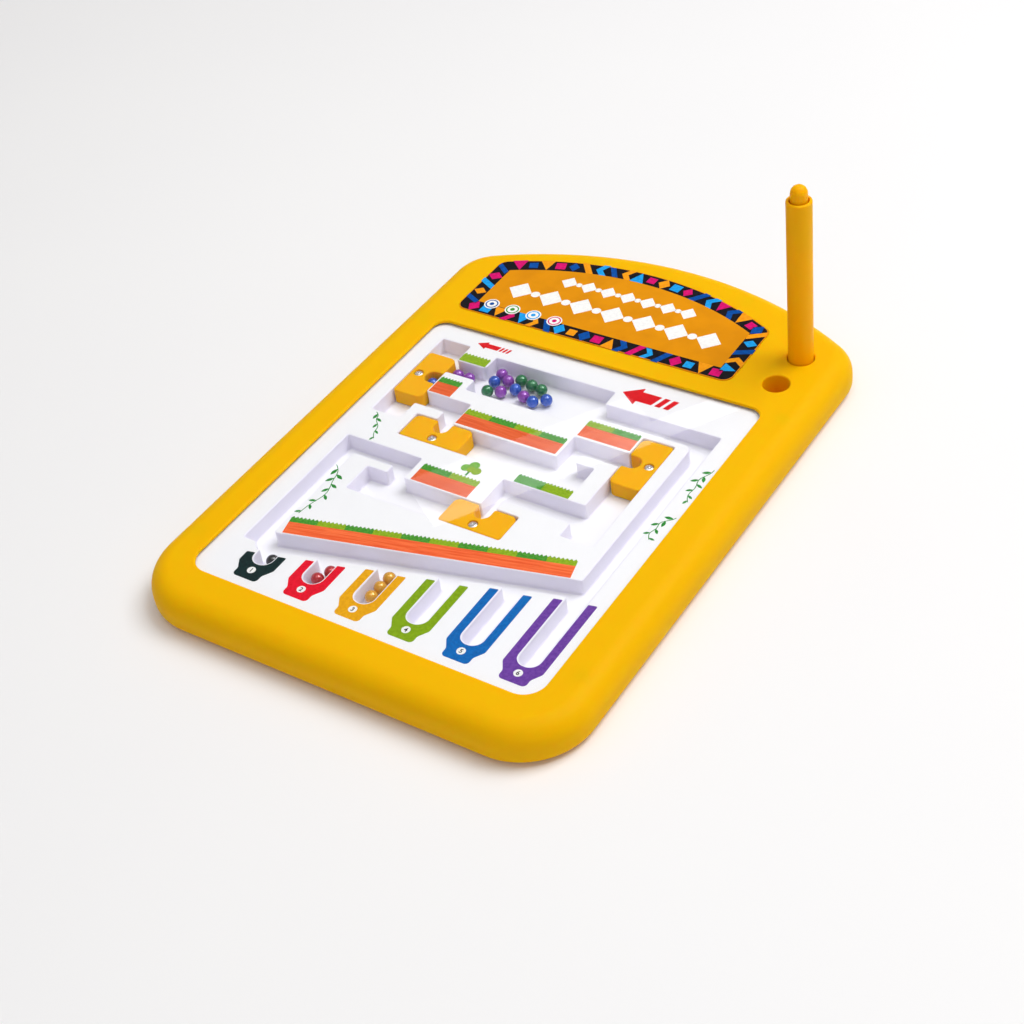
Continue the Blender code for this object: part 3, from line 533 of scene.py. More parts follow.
def circle(centre: Sequence[float], radius: float, count: int = 64) -> Points:
    """Points round a circle, counterclockwise."""
    angle = np.arange(count) * math.tau / count
    return np.stack((centre[0] + radius * np.cos(angle), centre[1] + radius * np.sin(angle)), axis=1)


def at(outline: Points, height: float) -> Points:
    """An outline's points at one height."""
    return np.column_stack((outline, np.full(len(outline), height)))


def spin(angle: float) -> Points:
    """The matrix that turns rows of x and y by an angle, when they are multiplied by it."""
    return np.array([(math.cos(angle), math.sin(angle)), (-math.sin(angle), math.cos(angle))])


def rectangle(low: Sequence[float], high: Sequence[float]) -> Points:
    """The corners of a rectangle, counterclockwise from its low one."""
    return np.array([(low[0], low[1]), (high[0], low[1]), (high[0], high[1]), (low[0], high[1])])


def quarter_round(radius: float, count: int = 3) -> Points:
    """Steps (across, down) along a rounded edge, from its flat top (radius, 0) to its side (0, radius)."""
    angle = np.linspace(0, QUARTER, count + 1)
    return np.stack((1 - np.sin(angle), 1 - np.cos(angle)), axis=1) * radius


def rounds(centre: Sequence[float], profile: Sequence[Pair], count: int = 64) -> list[Points]:
    """The rings of a round wall through (radius, height) pairs."""
    return [at(circle(centre, radius, count), height) for radius, height in profile]


def middle_of(node: str) -> Pair:
    """The x and y of a node's middle."""
    low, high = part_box(node)
    return (low.x + high.x) / 2, (low.y + high.y) / 2


class Skin:
    """A mesh gathered from grids and flat fills."""

    def __init__(self) -> None:
        """Starts with nothing."""
        self.points: list[Points] = []
        self.faces: list[list[int]] = []
        self.slots: list[int] = []
        self.count = 0

    def _keep(self, points: Points, faces: npt.NDArray[np.int64], slot: int) -> "Skin":
        """Adds points and their faces.

        Args:
            points: The points.
            faces: Rows of numbers of these points.
            slot: The material slot.

        Returns:
            This skin.
        """
        self.points.append(points)
        self.faces += (faces + self.count).tolist()
        self.slots += [slot] * len(faces)
        self.count += len(points)
        return self

    def grid(self, points: Points) -> "Skin":
        """Adds a grid of points (rows, columns, 3) whose last column meets the first.

        Args:
            points: The grid.

        Returns:
            This skin.
        """
        number = np.arange(points[..., 0].size).reshape(points.shape[:2])
        ahead = np.roll(number, -1, axis=1)
        faces = np.stack((number[:-1], ahead[:-1], ahead[1:], number[1:]), axis=-1)
        return self._keep(points.reshape(-1, 3), faces.reshape(-1, 4), 0)

    def loft(self, rings: Sequence[Points]) -> "Skin":
        """Adds a wall through closed rings."""
        return self.grid(np.stack(rings))

    def fill(self, loops: Sequence[Points], slot: int = 0) -> "Skin":
        """Adds a flat face inside the first loop and outside the others.

        The loops are filled in millimetres, because the fill joins points nearer than 3e-5.

        Args:
            loops: The outline and its holes.
            slot: The material slot.

        Returns:
            This skin.
        """
        joined = np.concatenate(loops)
        corners = tessellate_polygon([[Vector(point) for point in loop * 1000] for loop in loops])
        return self._keep(joined, np.array(corners, dtype=np.int64), slot)

    def well(self, centre: Sequence[float], profile: Sequence[Pair]) -> "Skin":
        """Adds a round wall through (radius, height) pairs, closed by a disc at its last one."""
        rings = rounds(centre, profile)
        return self.loft(rings).fill([rings[-1]])

    def body(self, rings: Sequence[Points]) -> "Skin":
        """Adds a wall through closed rings and closes both its ends."""
        return self.loft(rings).fill([rings[0]]).fill([rings[-1]])

    def make(
        self, name: str, finishes: Sequence[Made], body: str, nodes: Sequence[str] = (), slot: str = ""
    ) -> bpy.types.Object:
        """Makes the object, merges its seams, turns its faces outwards and lets it ride.

        Args:
            name: The object's name.
            finishes: One finish for each material slot.
            body: The body that it moves with.
            nodes: The frame's nodes that it stands for.
            slot: The record's material slot; it is not used.

        Returns:
            The object.
        """
        mesh = bpy.data.meshes.new(name)
        mesh.from_pydata(np.concatenate(self.points).tolist(), [], self.faces)
        for finish in finishes:
            mesh.materials.append(finish.made())
        mesh.polygons.foreach_set("material_index", self.slots)
        build = bmesh.new()
        build.from_mesh(mesh)
        bmesh.ops.remove_doubles(build, verts=build.verts, dist=MERGE)
        bmesh.ops.recalc_face_normals(build, faces=build.faces)
        build.to_mesh(mesh)
        build.free()
        return settle(mesh, name, body, nodes)


def show(name: str, data: bpy.types.ID) -> bpy.types.Object:
    """Makes an object and puts it into the scene.

    Args:
        name: The object's name.
        data: Its mesh, lamp, camera or text.

    Returns:
        The object.
    """
    shown = bpy.data.objects.new(name, data)
    bpy.context.scene.collection.objects.link(shown)
    return shown


def settle(mesh: bpy.types.Mesh, name: str, body: str, nodes: Sequence[str]) -> bpy.types.Object:
    """Makes an object of a finished mesh, smooths it and lets it ride.

    Args:
        mesh: The mesh, in its place.
        name: The object's name.
        body: The body that it moves with.
        nodes: The frame's nodes that it stands for.

    Returns:
        The object.
    """
    mesh.shade_smooth()
    mesh.set_sharp_from_angle(angle=SHARP)
    piece = show(name, mesh)
    even = piece.modifiers.new("even_normals", "WEIGHTED_NORMAL")
    even.keep_sharp = True
    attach(piece, body)
    if nodes:
        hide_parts(*nodes)
    log.info("%s: %d faces on %s", name, len(mesh.polygons), body)
    return piece


def print_on(name: str, finish: Made, outlines: Sequence[Points], height: float, layer: int = 1) -> None:
    """Prints flat shapes as a film of ink on a level face.

    Args:
        name: The print's name.
        finish: The ink.
        outlines: The shapes' outlines.
        height: The face that is printed.
        layer: 1 for the first ink on the face, and more for ink on ink.
    """
    skin = Skin()
    for outline in outlines:
        skin.body([at(outline, height + FILM * step) for step in (layer - 1, layer)])
    skin.make(name, [finish], "board")


def band(path: Points, width: float) -> Points:
    """The outline of a band of even width along an open path, with mitred bends.

    At each point the sides stand off by w/2 (n0 + n1) / (1 + n0.n1), where n0 and n1 are the
    left normals of the steps before and after it.

    Args:
        path: The path's points.
        width: The band's width.

    Returns:
        The outline, up one side and back down the other.
    """
    step = np.diff(path, axis=0)
    step /= np.linalg.norm(step, axis=1, keepdims=True)
    normal = np.stack((-step[:, 1], step[:, 0]), axis=1)
    before = np.vstack((normal[:1], normal))
    after = np.vstack((normal, normal[-1:]))
    mitre = (before + after) / (1 + (before * after).sum(1))[:, None] * width / 2
    return np.vstack((path - mitre, (path + mitre)[::-1]))


def arched(half: float, near: float, peak: float, rise: float, near_round: float, shoulder: float) -> Points:
    """The corners of an outline with straight sides, an arched head and rounded shoulders.

    The arch has radius (half^2 + rise^2) / 2 rise, and its tangents at the shoulders are the
    edges between the shoulder corners and the arch's own corner on the middle line.

    Args:
        half: Half the width.
        near: The y of the near edge.
        peak: The y of the arch's top.
        rise: The arch's rise over the sides.
        near_round: The radius of the near corners.
        shoulder: The radius of the shoulders.

    Returns:
        Rows of x, y and radius, counterclockwise.
    """
    arch = (half**2 + rise**2) / (2 * rise)
    middle = peak - arch
    x = half - shoulder
    y = middle + math.sqrt((arch - shoulder) ** 2 - x**2)
    turn = math.atan2(y - middle, x)
    along = (arch * math.cos(turn) - half) / math.sin(turn)
    side = middle + arch * math.sin(turn) + along * math.cos(turn)
    top = middle + arch / math.sin(turn)
    corners = [(-half, near, near_round), (half, near, near_round), (half, side, shoulder)]
    return np.array(corners + [(0, top, arch), (-half, side, shoulder)])


@dataclass(frozen=True)
class BoardPlan:
    """The sizes that the board's pieces share, in the frame's own axes.

    Args:
        width, side, rise: The board's width, its straight sides' length and its arched head's rise.
        near_round, shoulder: The radii of the near corners and of the shoulders.
        height, skin: The board's height and the thickness of the frame's skin.
        left, near: The x and y of the plan's zero, which lies on the opening's left edge.
    """

    width: float = 0.261
    side: float = 0.327
    rise: float = 0.040
    near_round: float = 0.038
    shoulder: float = 0.028
    height: float = 0.022
    skin: float = 0.0016
    left: float = -0.106
    near: float = -0.1535

    def outline(self, inset: float) -> Points:
        """The board's outline, drawn in by an inset."""
        end = (self.side + self.rise) / 2
        return ring(arched(self.width / 2, -end, end, self.rise, self.near_round, self.shoulder), inset)

    def move(self, points: Points) -> Points:
        """Moves points from the maze plan to the frame's axes.

        Args:
            points: Rows of x, y and any further columns, in metres.

        Returns:
            The moved points, with the further columns kept.
        """
        moved = np.array(points, dtype=float)
        moved[:, 0] += self.left
        moved[:, 1] += self.near
        return moved

    def lay(self, points: Points) -> Points:
        """Points in the plan's millimetres, in the frame's axes."""
        return self.move(np.array(points) / 1000)

    def spot(self, x: float, y: float) -> Pair:
        """One point of the maze plan in the frame's axes."""
        return x + self.left, y + self.near


PLAN = BoardPlan()
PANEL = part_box("near_wall")[1].z
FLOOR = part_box("maze_floor")[1].z
TRAY_LOW, TRAY_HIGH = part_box("maze_floor")


@dataclass(frozen=True)
class TopFrame:
    """The yellow frame: a thin rounded shell with the opening, label bed, sockets and bosses.

    Args:
        top_round, base_round, foot: The radii along the top edge and the base, and the flat foot's width.
        opening, margin: The opening's width and length, and how far it reaches before the plan's zero.
        near_round, far_round: The radii of its near and far corners.
        lip, hem: The radius along its upper edge, and the straight band at its lower one.
        bed, bed_round: The depth of the label's bed and the radius along its edge.
        bore, wall: The sockets' bore and wall.
        deck, base: The height of the sockets' underside and the thickness of their floor.
        mouth, toe: The radii round a socket's mouth and its floor.
        boss, boss_low: The radius of the bosses for the back screws and the height of their end.
        boss_bore, boss_roof: The radius of their bores, and how far under the skin these end.
        spare: The spare socket's place in the plan.
    """

    top_round: float = 0.012
    base_round: float = 0.006
    foot: float = 0.002
    lip: float = 0.0007
    opening: Pair = (0.212, 0.2336)
    margin: float = 0.0036
    near_round: float = 0.012
    far_round: float = 0.008
    bed: float = 0.0005
    bed_round: float = 0.0002
    bore: float = 0.015
    wall: float = 0.0018
    deck: float = 0.0023
    base: float = 0.0015
    mouth: float = 0.0009
    boss: float = 0.0038
    boss_low: float = 0.0063
    boss_bore: float = 0.0017
    boss_roof: float = 0.004
    toe: float = 0.001
    hem: float = 0.00028
    spare: Pair = (0.207, 0.2535)

    def sockets(self) -> list[Pair]:
        """The middles of the pen's socket and of the spare one."""
        return [middle_of("pen_barrel"), PLAN.spot(*self.spare)]

    def mouth_ring(self, offset: float) -> Points:
        """The opening's outline.

        Args:
            offset: How far it is moved inwards.

        Returns:
            The outline's points.
        """
        width, length = self.opening
        near, far = -self.margin, length - self.margin
        corners = [(0, near, self.near_round), (width, near, self.near_round)]
        corners += [(width, far, self.far_round), (0, far, self.far_round)]
        return ring(PLAN.move(corners), offset)

    def shell(self, outer: bool) -> list[Points]:
        """The rings of the shell's outer or inner side, from the top edge to the foot.

        Each ring is the board's outline drawn in by a + r cos t at height b + r sin t, where t
        runs over the quarter round of the top edge and then over that of the base.

        Args:
            outer: True for the outer side.

        Returns:
            The rings.
        """
        thick = 0.0 if outer else PLAN.skin
        rings = []
        turns = np.linspace(QUARTER, 2 * QUARTER, ARC)
        for inward, height, radius, start in (
            (self.top_round, PLAN.height - self.top_round, self.top_round - thick, 0.0),
            (self.base_round, self.base_round, self.base_round - thick, QUARTER),
        ):
            for turn in turns + start:
                inset = inward + radius * math.cos(turn)
                rings.append(at(PLAN.outline(inset), height + radius * math.sin(turn)))
        last = self.base_round + self.foot
        rings.append(at(PLAN.outline(last), 0.0 if outer else PLAN.skin))
        return rings

    def build(self) -> None:
        """Builds the frame's mesh and dresses it."""
        skin = Skin()
        outer, inner = self.shell(True), self.shell(False)
        skin.loft(outer).loft(inner).loft([outer[-1], inner[-1]])
        top, under = PLAN.height, PLAN.height - PLAN.skin
        lip = [at(self.mouth_ring(-x), top - z) for x, z in quarter_round(self.lip, 6)]
        lip += [at(self.mouth_ring(0.0), height) for height in (under + self.hem, under)]
        skin.loft(lip)
        bed = LABEL.outline(-LABEL.play)
        floor = top - self.bed
        rim = [at(LABEL.outline(-LABEL.play - x), top - z) for x, z in quarter_round(self.bed_round)]
        skin.loft([*rim, at(bed, floor)]).fill([at(bed, floor)])
        above, below = [lip[0], rim[0]], [lip[-1]]
        for centre in self.sockets():
            low, bore = self.deck + self.base, self.bore / 2
            profile = [(bore + x, top - z) for x, z in quarter_round(self.mouth, 6)]
            profile += [(bore - self.toe * x, low + self.toe * z) for x, z in ((0, 1), (0.3, 0.3), (1, 0))]
            skin.well(centre, profile)
            skin.well(centre, [(bore + self.wall, under), (bore + self.wall, self.deck)])
            above.append(at(circle(centre, profile[0][0]), top))
            below.append(at(circle(centre, bore + self.wall), under))
        head, end = top - PLAN.skin / 2, under - self.boss_roof
        for centre in (middle_of(f"back_screw_{i}") for i in range(1, 7)):
            profile = [(self.boss, head), (self.boss, self.boss_low), (self.boss_bore, self.boss_low)]
            skin.well(centre, [*profile, (self.boss_bore, end)]).fill([at(circle(centre, self.boss), head)])
        skin.fill([outer[0], *above]).fill([inner[0], *below])
        skin.make("moulded_frame", [Finish.FRAME], "board", ["top_frame"], "yellow_plastic")


@dataclass(frozen=True)
class HeaderLabel:
    """The printed card in the frame's head, with a border of plain shapes round rows of beads.

    Args:
        left, near: The plan's x and y of its near left corner.
        width, side, rise: Its width, the length of its sides and the rise of its arch.
        near_round, far_round: The radii of the near corners and of the shoulders.
        play, edge: The gap to its bed and the radius along its upper edge.
        band, bleed: The width of the border, and the yellow edge left outside it.
        count, bend: The border's steps, and the cosine of the turn from which one stays bare.
        rows: For each row of beads its length, a lozenge's height and the distance from the near edge.
        beads: How many beads a row has.
        disc, pitch: The first ringed disc's distance from the left and near edges, and the discs' pitch.
        discs: The radii of a disc's rings.
    """

    left: float = 0.002
    width: float = 0.181
    near: float = 0.2439
    side: float = 0.0507
    rise: float = 0.0228
    near_round: float = 0.006
    far_round: float = 0.007
    play: float = 0.0004
    edge: float = 0.0001
    band: float = 0.0098
    bleed: float = 0.0004
    count: int = 52
    bend: float = math.cos(math.radians(30))
    rows: tuple[Triple, ...] = ((0.080, 0.0112, 0.0475), (0.126, 0.0164, 0.0290))
    beads: int = 13
    disc: Pair = (0.0190, 0.0105)
    pitch: float = 0.0145
    discs: tuple[float, ...] = (0.0047, 0.0039, 0.0031, 0.0014)

    def outline(self, inset: float, chamfer: float = 0.0) -> Points:
        """The card's outline, drawn in by an inset.

        Args:
            inset: How far it is drawn in.
            chamfer: More radius for its corners.

        Returns:
            The outline's points.
        """
        half, peak = self.width / 2, self.side + self.rise
        corners = arched(half, 0.0, peak, self.rise, self.near_round, self.far_round)
        corners[:, 0] += self.left + half
        corners[:, 1] += self.near
        corners[[0, 1, 2, 4], 2] += chamfer
        return ring(PLAN.move(corners), inset)

    def motif(self, kind: int, size: float) -> Points:
        """A plain shape about its own middle.

        Args:
            kind: 0 a slanted bar, 1 a triangle, 2 a lozenge, 3 a chevron, 4 a small square.
            size: Half its height.

        Returns:
            The shape's outline.
        """
        shapes = {
            0: [(-0.9, -1), (-0.1, -1), (0.9, 1), (0.1, 1)],
            1: [(-0.9, -1), (0.9, -1), (0, 0.9)],
            2: [(0, -0.95), (0.75, 0), (0, 0.95), (-0.75, 0)],
            3: [(-0.9, -1), (-0.1, -1), (0.6, 0), (-0.1, 1), (-0.9, 1), (-0.2, 0)],
            4: [(-0.6, -0.6), (0.6, -0.6), (0.6, 0.6), (-0.6, 0.6)],
        }
        return np.array(shapes[kind]) * size

    def border(self, height: float) -> None:
        """Prints the black border and its shapes.

        The shapes stand at even steps of arc length along the band's middle line, each turned
        to the line: p + u t + v n for a point (u, v), tangent t and normal n. Each is 0.54 or 0.46
        of the band in half its height, and every other one is mirrored. Steps that turn a corner
        stay bare.

        Args:
            height: The card's upper face.
        """
        print_on("label_border", Finish.BLACK, [self.outline(self.bleed)], height)
        line = self.outline(self.band / 2, self.band / 2)
        step = np.linalg.norm(np.roll(line, -1, axis=0) - line, axis=1)
        reach = np.concatenate(([0.0], np.cumsum(step)))
        closed = np.vstack((line, line[:1]))
        inks = (Finish.NAVY, Finish.PINK, Finish.SKY, Finish.ORANGE)
        shapes: dict[Finish, list[Points]] = {ink: [] for ink in inks}
        for i in range(self.count):
            along = reach[-1] * (i + np.array([-0.5, -0.02, 0.0, 0.02, 0.5])) / self.count % reach[-1]
            spots = np.stack([np.interp(along, reach, closed[:, k]) for k in (0, 1)], axis=1)
            chords = spots[[1, 3, 4]] - spots[[0, 1, 3]]
            chords /= np.linalg.norm(chords, axis=1, keepdims=True)
            if chords[0] @ chords[2] < self.bend:
                continue
            tangent = chords[1]
            normal = np.array([-tangent[1], tangent[0]])
            size = self.band * (0.54 if i % 3 else 0.46)
            local = self.motif((i * 2 + i // 5) % 5, size)
            local[:, 1] *= -1.0 if i % 2 else 1.0
            placed = spots[2] + local[:, :1] * tangent + local[:, 1:] * normal
            shapes[inks[(i + i // 4) % 4]].append(placed)
        for ink, outlines in shapes.items():
            print_on(f"label_{ink.name.lower()}_shapes", ink, outlines, height, 2)

    def row(self, width: float, size: float, low: float) -> list[Points]:
        """A row of lozenges with a disc between each two.

        A lozenge is 0.96 as wide as it is high, and a disc's radius is 0.17 of that height.

        Args:
            width: The row's length.
            size: The height of a lozenge.
            low: How far the row's middle stands from the card's near edge.

        Returns:
            The outlines.
        """
        lozenge = np.array([(-0.48, 0), (0, -0.5), (0.48, 0), (0, 0.5)]) * size
        first = self.left + (self.width - width) / 2
        outlines = []
        for i in range(self.beads):
            spot = (first + width * i / (self.beads - 1), self.near + low)
            if i % 2:
                outlines.append(circle(PLAN.spot(*spot), size * 0.17, 32))
            else:
                outlines.append(PLAN.move(lozenge + spot))
        return outlines

    def field(self, height: float) -> None:
        """Prints the field, two rows of beads and four ringed discs.

        Args:
            height: The card's upper face.
        """
        print_on("label_field", Finish.FIELD, [self.outline(self.band, self.band * 0.35)], height, 3)
        beads = [outline for row in self.rows for outline in self.row(*row)]
        print_on("label_beads", Finish.WHITE, beads, height, 4)
        for i, ink in enumerate((Finish.NAVY, Finish.GRASS, Finish.SKY, Finish.PINK)):
            spot = PLAN.spot(self.left + self.disc[0] + self.pitch * i, self.near + self.disc[1])
            for layer, radius in enumerate(self.discs):
                tint, disc = ink if layer % 2 else Finish.WHITE, circle(spot, radius, 40)
                print_on(f"label_disc_{i + 1}_{layer + 1}", tint, [disc], height, 4 + layer)

    def build(self) -> None:
        """Builds the card and its print."""
        low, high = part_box("header_label")
        rings = [at(self.outline(self.edge - x), high.z - z) for x, z in quarter_round(self.edge)[::-1]]
        rings.insert(0, at(self.outline(0.0), low.z))
        skin = Skin().body(rings)
        skin.make("label_card", [Finish.ORANGE], "board", ["header_label"], "label_card")
        self.border(high.z)
        self.field(high.z)


LABEL = HeaderLabel()


# The slanting channel in the plan's millimetres: its two ends, the y where its near side starts,
# that side's rise, the channel's width and how much narrower it gets
RAMP = (24.5, 189.55)
RAMP_START, RAMP_RISE = 24.2, 40.3
RAMP_WIDTH, RAMP_TAPER = 13.9, 1.7


def ramp_near(x: float) -> float:
    """The near side of the slanting channel at an x of the plan, in millimetres."""
    return RAMP_START + RAMP_RISE * (x - RAMP[0]) / (RAMP[1] - RAMP[0])


def ramp_far(x: float) -> float:
    """The far side of the slanting channel at an x of the plan, in millimetres."""
    return ramp_near(x) + RAMP_WIDTH - RAMP_TAPER * (x - RAMP[0]) / (RAMP[1] - RAMP[0])


def corners(*rows: Sequence[float], radius: float = 1.2) -> Points:
    """Rounded corners in the frame's axes, from rows in the plan's millimetres.

    Args:
        rows: x, y and, where it isn't the usual one, the radius.
        radius: The usual radius.

    Returns:
        Rows of x, y and radius in metres.
    """
    return PLAN.lay([(*row, radius)[:3] for row in rows])


def stepped(*lines: float) -> list[tuple[float, ...]]:
    """The corners of a path with right angles.

    Args:
        lines: The x and the y of its start, and then in turn each x and y at which it bends.

    Returns:
        Rows of x and y.
    """
    return [lines[i:i + 2] if i % 2 == 0 else lines[i:i + 2][::-1] for i in range(len(lines) - 1)]


@dataclass(frozen=True)
class Room:
    """A rectangle of the maze, in the plan's millimetres.

    Args:
        left, near, right, far: The x or y of its sides.
    """

    left: float
    near: float
    right: float
    far: float


@dataclass(frozen=True)
class MazeTray:
    """The white tray: its channels are let into the panel, round one island.

    Its plan is in millimetres. A corridor is given by the y of its near and far side, and a
    passage by the x of its left and right one.

    Args:
        slots: How many ball slots there are.
        first, pitch: The first slot's middle and the slots' pitch.
        half, start: Half a slot's width and the y of its near end.
        pockets, pile: The pockets of gates 1 to 4, and the start area.
        corridor_1, corridor_2, corridor_4: The corridors from gate 1 to the start area, beyond gate 2's
            pocket and beyond gate 4's.
        loop_arm, back: The corridors from the loop to gate 4 and from the slots to the start area.
        passage_2, passage_3: The passages at the left and right end of gate 2's pocket.
        passage_4, passage_5: The passages at the left and right end of gate 4's pocket.
        loop, bend: The x of the loop's left side, and the point where its near side bends.
        corner, first_corner: The radii of the corners on the ramp, and of the first of them.
        tongue, block: The radii where corridor 1 meets the start area and where the ways back meet.
        rim, fillet: The radii along the top of the walls and along their foot, in metres.
    """

    slots: int = 6
    first: float = 32.2
    pitch: float = 32.42
    half: float = 5.75
    start: float = 15.4
    pockets: tuple[Room, ...] = (
        Room(10.6, 145.7, 30, 217.1),
        Room(36.8, 133.4, 151.2, 152.8),
        Room(162, 100.5, 181.4, 186.1),
        Room(38.2, 84, 135.6, 103.4),
    )
    pile: Room = Room(49.7, 181.9, 128.5, 214.1)
    corridor_1: Pair = (191.3, 202.9)
    corridor_2: Pair = (160.1, 171.5)
    corridor_4: Pair = (111, 125.4)
    loop_arm: Pair = (109.5, 121)
    back: Pair = (190.3, 202.7)
    passage_2: Pair = (50, 60.5)
    passage_3: Pair = (127.5, 139.5)
    passage_4: Pair = (51, 62)
    passage_5: Pair = (111.5, 121)
    loop: float = 12
    bend: Pair = (20, 28.8)
    corner: float = 1.5
    first_corner: float = 0.8
    tongue: float = 3
    block: float = 5
    rim: float = 0.00055
    fillet: float = 0.0008

    def centre(self, slot: int) -> float:
        """The middle of a slot, in the plan's millimetres."""
        return self.first + self.pitch * slot

    def channels(self) -> Points:
        """The outer side of the channels, counterclockwise from the loop's near end.

        Returns:
            The side's rounded corners.
        """
        rows: list[tuple[float, ...]] = [(self.loop, self.bend[1]), self.bend, (RAMP[0], RAMP_START)]
        for slot in range(self.slots):
            left, right = self.centre(slot) - self.half, self.centre(slot) + self.half
            rows.append((left, ramp_near(left), self.corner if slot else self.first_corner))
            rows += [(x, self.start, self.half * ROUND) for x in (left, right)]
            rows.append((right, ramp_near(right), self.corner))
        # The last slot's right side runs on to the corridor back, without a corner on the ramp
        rows.pop()
        (one, two, three, four), pile = self.pockets, self.pile
        path = stepped(
            *(right, self.back[1], pile.right, pile.far, pile.left, self.corridor_1[1]),
            *(one.right, one.far, one.left, one.near, one.right, self.corridor_2[0]),
            *(self.passage_2[0], two.far, two.left, two.near, two.right, two.far),
            *(self.passage_3[1], self.corridor_2[0], three.left, self.corridor_4[1]),
            *(self.passage_5[0], four.far, self.passage_4[1], self.loop_arm[1], self.loop),
        )
        meeting = path.index((pile.left, self.corridor_1[1]))
        path[meeting] += (self.tongue,)
        return corners(*rows, *path)

    def island(self) -> Points:
        """The island's side, counterclockwise from the corner between gate 1 and corridor 2.

        Returns:
            The side's rounded corners.
        """
        (one, two, three, four), pile = self.pockets, self.pile
        rows = stepped(
            *(one.right, self.corridor_2[1], self.passage_2[1], two.far),
            *(self.passage_3[0], self.corridor_2[1], three.left, three.far, three.right, three.near),
            *(three.left, self.corridor_4[0], self.passage_5[1], four.far, four.right, four.near),
            *(four.left, four.far, self.passage_4[0], self.loop_arm[0], RAMP[0]),
        )
        rows += [(x, ramp_far(x), self.corner) for x in RAMP]
        block, *path = stepped(
            *(RAMP[1], self.back[0], self.passage_3[0], pile.near),
            *(pile.left, self.corridor_1[0], one.right),
        )
        return corners(*rows, (*block, self.block), *path)

    def side(self, outline: Points, sign: float) -> list[Points]:
        """The rings of one side of the channels, from its rounded rim to the foot of its fillet.

        Args:
            outline: The side's corners.
            sign: 1 where the channels lie on the left of its direction, and -1 on the right.

        Returns:
            The rings.
        """
        rings = []
        for across, down in quarter_round(self.rim, 4):
            rings.append(at(ring(outline, -sign * across), PANEL - down))
        for across, down in quarter_round(self.fillet, 4)[::-1]:
            rings.append(at(ring(outline, sign * across), FLOOR + down))
        return rings

    def build(self) -> None:
        """Builds the tray."""
        skin = Skin()
        outer, inner = self.side(self.channels(), 1), self.side(self.island(), -1)
        # The walls, in slot 0, take the lavender white that paints their shade; the floor and the panel, in
        # slot 1, take the plain white
        skin.loft(outer).loft(inner).fill([outer[-1], inner[-1]], 1)
        rings = [at(rectangle(TRAY_LOW, TRAY_HIGH), height) for height in (PANEL, TRAY_LOW.z)]
        skin.fill([rings[0], outer[0]], 1).fill([inner[0]], 1)
        skin.loft(rings).fill([rings[-1]])
        walls = ["near_wall", "left_wall", "right_wall", "far_wall", "middle_wall_left"]
        walls += ["middle_wall_right", "island_wall_start", "island_wall_return", "island_wall_lower"]
        skin.make("maze_tray", [Finish.TRAY, Finish.PANEL], "board", ["maze_floor", *walls], "tray_plastic")


@dataclass(frozen=True)
class Turf:
    """A printed strip of soil under a ragged band of grass.

    Args:
        name: The print's name.
        left, near: The plan's x and y of its near left corner, in millimetres.
        length, turn: The strip's length and slope.
        soil, grass: The depths of the soil and of the grass.
        patch: The length of a patch of one green.
        tuft, height: The width of a tuft, and how high it stands out.
        flip: True where the first patch is the paler green.
    """

    name: str
    left: float
    near: float
    length: float
    soil: float
    grass: float
    turn: float = 0.0
    patch: float = 13.0
    tuft: float = 2.2
    height: float = 1.3
    flip: bool = False

    def placed(self, points: Points) -> Points:
        """Turns the strip's own points: x + u cos t - v sin t, y + u sin t + v cos t.

        Args:
            points: Rows of u along and v across the strip.

        Returns:
            The points in the frame's axes.
        """
        return PLAN.lay(points @ spin(self.turn) + (self.left, self.near))

    def build(self) -> None:
        """Prints the soil and the two greens."""
        if self.soil:
            soil = self.placed(rectangle((0, 0), (self.length, self.soil)))
            print_on(f"{self.name}_soil", Finish.SOIL_SLANT if self.turn else Finish.SOIL, [soil], PANEL)
        count = max(1, round(self.length / self.patch))
        edges = np.linspace(0, self.length, count + 1)
        patches: dict[Finish, list[Points]] = {Finish.GRASS: [], Finish.MEADOW: []}
        top = self.soil + self.grass
        for i, (start, end) in enumerate(zip(edges, edges[1:])):
            steps = 2 * max(1, round((end - start) / self.tuft)) + 1
            x = np.linspace(start, end, steps)
            y = top - self.height * (np.arange(steps) % 2 == 0)
            ragged = np.column_stack((x, y))[::-1]
            patch = np.vstack(([(start, self.soil), (end, self.soil)], ragged))
            ink = Finish.MEADOW if (i % 2 == 0) == self.flip else Finish.GRASS
            patches[ink].append(self.placed(patch))
        for ink, outlines in patches.items():
            if outlines:
                print_on(f"{self.name}_{ink.name.lower()}", ink, outlines, PANEL)


